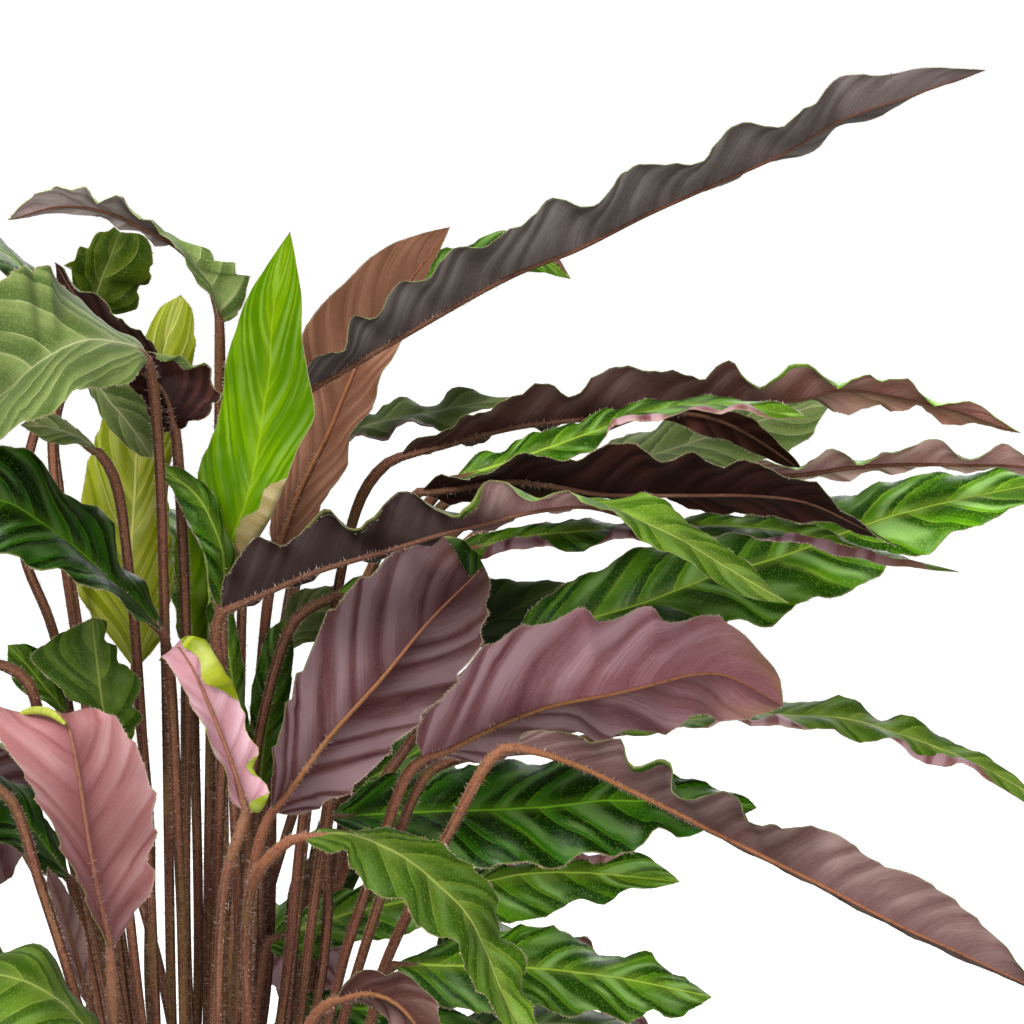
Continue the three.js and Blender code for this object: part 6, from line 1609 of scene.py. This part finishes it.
def grow_pot(finish):
    """A tapered pot with a rolled rim and drainage holes in its floor."""
    rim_foot = POT_HEIGHT - RIM_HEIGHT
    piece = start_disc("fine_pot", POT_BASE_RADIUS - 2, 0)
    extrude_to([
        [POT_BASE_RADIUS - 0.2, 0.6],
        [wall_radius(4), 4],
        [wall_radius(rim_foot), rim_foot],
        [wall_radius(rim_foot) + RIM_PROUD, rim_foot + RIM_PROUD * 0.6],
        [POT_TOP_RADIUS + RIM_PROUD, POT_HEIGHT - 2.2],
        [POT_TOP_RADIUS + RIM_PROUD - 0.4, POT_HEIGHT - 0.6],
        [POT_TOP_RADIUS + RIM_PROUD - 1.4, POT_HEIGHT],
        [POT_TOP_RADIUS - POT_WALL + 0.4, POT_HEIGHT],
        [POT_TOP_RADIUS - POT_WALL - 0.1, POT_HEIGHT - 0.8],
        [wall_radius(POT_FLOOR) - POT_WALL, POT_FLOOR],
    ], POT_BASE_RADIUS - 2, 0)
    bpy.ops.mesh.select_all(action="SELECT")
    bpy.ops.mesh.normals_make_consistent(inside=False)
    bpy.ops.object.mode_set(mode="OBJECT")
    for hole in range(DRAIN_HOLES):
        turn = 2 * math.pi * (hole + 0.5) / DRAIN_HOLES
        bpy.ops.object.select_all(action="DESELECT")
        bpy.ops.mesh.primitive_cylinder_add(
            vertices=DRAIN_SIDES, radius=DRAIN_RADIUS * MM, depth=30 * MM,
            location=(DRAIN_CIRCLE * MM * math.cos(turn), DRAIN_CIRCLE * MM * math.sin(turn), 0))
        cut_with(piece, bpy.context.object)
    soften = piece.modifiers.new("Soft edges", "BEVEL")
    soften.width = POT_BEVEL * MM
    soften.segments = 2
    soften.limit_method = "ANGLE"
    soften.angle_limit = POT_BEVEL_ANGLE
    apply_all(piece)
    bpy.ops.object.shade_smooth_by_angle(angle=POT_SMOOTH_ANGLE)
    piece.data.materials.append(finish)
    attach(piece, "root")
    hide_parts("pot")


def mound_height(radius):
    """The soil's level at a distance from the middle: heaped a little round the clump."""
    outer = wall_radius(SOIL_LEVEL) - POT_WALL
    share = np.clip((outer - np.asarray(radius)) / MOUND_EDGE, 0, 1)
    return SOIL_LEVEL + MOUND_HEIGHT * share * share * (3 - 2 * share)


def potting_soil(finish):
    """A heap that fills the pot and closes over the crown, with a hollow for the crown."""
    def inner(height):
        return wall_radius(height) - POT_WALL - CLEARANCE

    floor = POT_FLOOR + CLEARANCE
    piece = start_disc("fine_soil", inner(floor), floor)
    top = inner(SOIL_LEVEL)
    radii = [top * (1 - k / SOIL_RINGS) for k in range(1, SOIL_RINGS - 1)]
    rings = [[radius, float(mound_height(radius))] for radius in radii]
    extrude_to([[inner(SOIL_LEVEL - 2), SOIL_LEVEL - 2], [top, SOIL_LEVEL - 0.4], *rings],
               inner(floor), floor)
    bpy.ops.mesh.poke()
    bpy.ops.mesh.select_all(action="SELECT")
    bpy.ops.mesh.normals_make_consistent(inside=False)
    bpy.ops.object.mode_set(mode="OBJECT")
    surface = piece.vertex_groups.new(name="surface")
    level = (SOIL_LEVEL - 0.2) * MM
    edge = (top - 1.5) * MM
    surface.add([v.index for v in piece.data.vertices
                 if v.co.z > level and math.hypot(v.co.x, v.co.y) < edge], 1.0, "REPLACE")
    for name, size, strength in (("Heaps", 9.0, 2.2), ("Crumbs", 2.6, 1.8)):
        texture = bpy.data.textures.new(name, "CLOUDS")
        texture.noise_scale = size * MM
        heap = piece.modifiers.new(name, "DISPLACE")
        heap.texture = texture
        heap.direction = "Z"
        heap.strength = strength * MM
        heap.vertex_group = "surface"
    apply_all(piece)
    bpy.ops.object.select_all(action="DESELECT")
    hollow_top = FOOT_START + 0.4
    bpy.ops.mesh.primitive_cylinder_add(
        vertices=HOLLOW_SIDES, radius=HOLLOW_RADIUS * MM, depth=(hollow_top - HOLLOW_FOOT) * MM,
        location=(0, 0, (hollow_top + HOLLOW_FOOT) / 2 * MM))
    cut_with(piece, bpy.context.object)
    bpy.ops.object.shade_smooth_by_angle(angle=SHARP_ANGLE)
    piece.data.materials.append(finish)
    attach(piece, "root")
    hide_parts("soil")


def soil_crumbs(soil, grit):
    """Loose crumbs and white grit on the soil, each a copy of one lump, turned and squashed."""
    bpy.ops.object.select_all(action="DESELECT")
    bpy.ops.mesh.primitive_ico_sphere_add(subdivisions=1, radius=1.0)
    lump = bpy.context.object
    points = np.array([v.co[:] for v in lump.data.vertices])
    faces = np.array([f.vertices[:] for f in lump.data.polygons])
    bpy.data.objects.remove(lump)
    random = np.random.default_rng(CRUMB_SEED)
    patches = []
    for number in range(CRUMBS):
        is_grit = number < GRIT_CRUMBS
        radius = 1.0 + 1.6 * random.random() ** 2 + (0.4 if is_grit else 0)
        reach = (wall_radius(SOIL_LEVEL) - POT_WALL - 4) * math.sqrt(random.random())
        turn = random.uniform(0, 2 * math.pi)
        squash = random.uniform(0.6, 1.2, 3)
        spin = np.linalg.qr(random.normal(size=(3, 3)))[0]
        spin[:, 0] *= np.linalg.det(spin)
        lumpy = points * (1 + CRUMB_ROUGHNESS * random.normal(size=(len(points), 1)))
        shape = lumpy @ spin * radius * squash
        place = [reach * math.cos(turn), reach * math.sin(turn), float(mound_height(reach)) + 0.6]
        patches.append({
            "points": shape + place, "faces": np.concatenate([faces, faces[:, 2:]], axis=1),
            "material": np.full(len(faces), 1 if is_grit else 0)})
    piece = made_object("soil_crumbs", patches, [soil, grit])
    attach(piece, "root")


# Floor, light and camera

WORLD_ABOVE = 0.42
WORLD_BELOW = 0.3
WORLD_IN_VIEW = 1.05
FLOOR_SIZE = 40
FLOOR_DIM_TO = 0.3
FLOOR_GLOWS_FROM = 1.4
FLOOR_DIM = 0.45
FLOOR_GLOW = 0.75
SENSOR_WIDTH = 36
FARTHEST_SEEN = 100


def pale_floor():
    """A pale floor that glows softly away from the pot and adds no light to the plant."""
    bpy.ops.object.select_all(action="DESELECT")
    bpy.ops.mesh.primitive_plane_add(size=FLOOR_SIZE)
    floor = bpy.context.object
    floor.name = "studio_floor"
    finish = Finish("Floor, pale", Roughness=0.9, Specular_IOR_Level=0.1)
    reach = Value(finish, finish.node("ShaderNodeVectorMath", {"operation": "LENGTH"},
                                      {"Vector": finish.place()}).outputs["Value"])
    glow = finish.mix(reach.ramp(FLOOR_DIM_TO, FLOOR_GLOWS_FROM),
                      (FLOOR_DIM, FLOOR_DIM, FLOOR_DIM), (1.0, 1.0, 1.0))
    finish.feed(finish.shader.inputs["Emission Color"], glow)
    finish.shader.inputs["Emission Strength"].default_value = FLOOR_GLOW
    floor.data.materials.append(finish.show(colour(236, 236, 234)))
    floor.visible_diffuse = False
    floor.visible_glossy = False


def soft_lamp(name, place, aim, size, power):
    """A round white lamp turned towards a place."""
    data = bpy.data.lights.new(name, "AREA")
    data.shape = "DISK"
    data.size = size
    data.energy = power
    lamp = bpy.data.objects.new(name, data)
    lamp.location = place
    lamp.rotation_euler = (Vector(aim) - Vector(place)).to_track_quat("-Z", "Y").to_euler()
    bpy.context.scene.collection.objects.link(lamp)


def studio_light():
    """A white surround that lights more from above than from below, and three soft lamps."""
    world = bpy.context.scene.world or bpy.data.worlds.new("Studio")
    bpy.context.scene.world = world
    world.use_nodes = True
    nodes, links = world.node_tree.nodes, world.node_tree.links
    back = nodes["Background"]
    back.inputs["Color"].default_value = (1, 1, 1, 1)
    place = nodes.new("ShaderNodeTexCoord")
    split = nodes.new("ShaderNodeSeparateXYZ")
    links.new(place.outputs["Generated"], split.inputs["Vector"])
    upward = nodes.new("ShaderNodeMapRange")
    for socket, value in (("From Min", -1.0), ("From Max", 1.0), ("To Min", WORLD_BELOW),
                          ("To Max", WORLD_ABOVE)):
        upward.inputs[socket].default_value = value
    links.new(split.outputs["Z"], upward.inputs["Value"])
    rays = nodes.new("ShaderNodeLightPath")
    strength = nodes.new("ShaderNodeMix")
    strength.inputs["B"].default_value = WORLD_IN_VIEW
    links.new(rays.outputs["Is Camera Ray"], strength.inputs["Factor"])
    links.new(upward.outputs["Result"], strength.inputs["A"])
    links.new(strength.outputs["Result"], back.inputs["Strength"])
    middle = (0.1, 0, 0.52)
    soft_lamp("Key light", (-1.3, -1.7, 2.3), middle, 1.0, 78)
    soft_lamp("Fill light", (0.9, -2.7, 0.35), middle, 1.8, 56)
    soft_lamp("Back light", (0.7, 2.2, 1.9), middle, 1.2, 26)


def photo_camera():
    """From the front and a little above, square on to the clump, as the photograph was taken."""
    data = bpy.data.cameras.new("Photo camera")
    data.sensor_width = SENSOR_WIDTH
    data.lens = SENSOR_WIDTH * VIEW_DISTANCE / (PHOTO_SIDE * MM_PER_PIXEL)
    data.clip_end = FARTHEST_SEEN
    camera = bpy.data.objects.new("Photo camera", data)
    aim = Vector(((PHOTO_MIDDLE - AXIS_PIXEL) * MM_PER_PIXEL, 0, VIEW_HEIGHT)) * MM
    back = Vector((0, -math.cos(VIEW_TILT), math.sin(VIEW_TILT)))
    camera.location = aim + back * VIEW_DISTANCE * MM
    camera.rotation_euler = (-back).to_track_quat("-Z", "Y").to_euler()
    bpy.context.scene.collection.objects.link(camera)
    bpy.context.scene.camera = camera


bpy.context.scene.view_settings.view_transform = "Standard"
photo_camera()
studio_light()
pale_floor()

finishes = plant_finishes()
leaves = [{**USUAL, **leaf} for leaf in LEAVES]
for leaf in leaves:
    give_lean(leaf)
give_feet([*SHOOTS, *leaves])
for place, leaf in enumerate(leaves):
    photo_leaf(leaf, finishes, FIRST_LEAF_SEED + place)
for place, plan in enumerate(SHOOTS):
    shoot(plan, finishes, FIRST_SHOOT_SEED + place)

soil = soil_finish()
grow_pot(pot_finish())
potting_soil(soil)
soil_crumbs(soil, grit_finish())
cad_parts["crown"].material_slots[0].material = crown_finish()
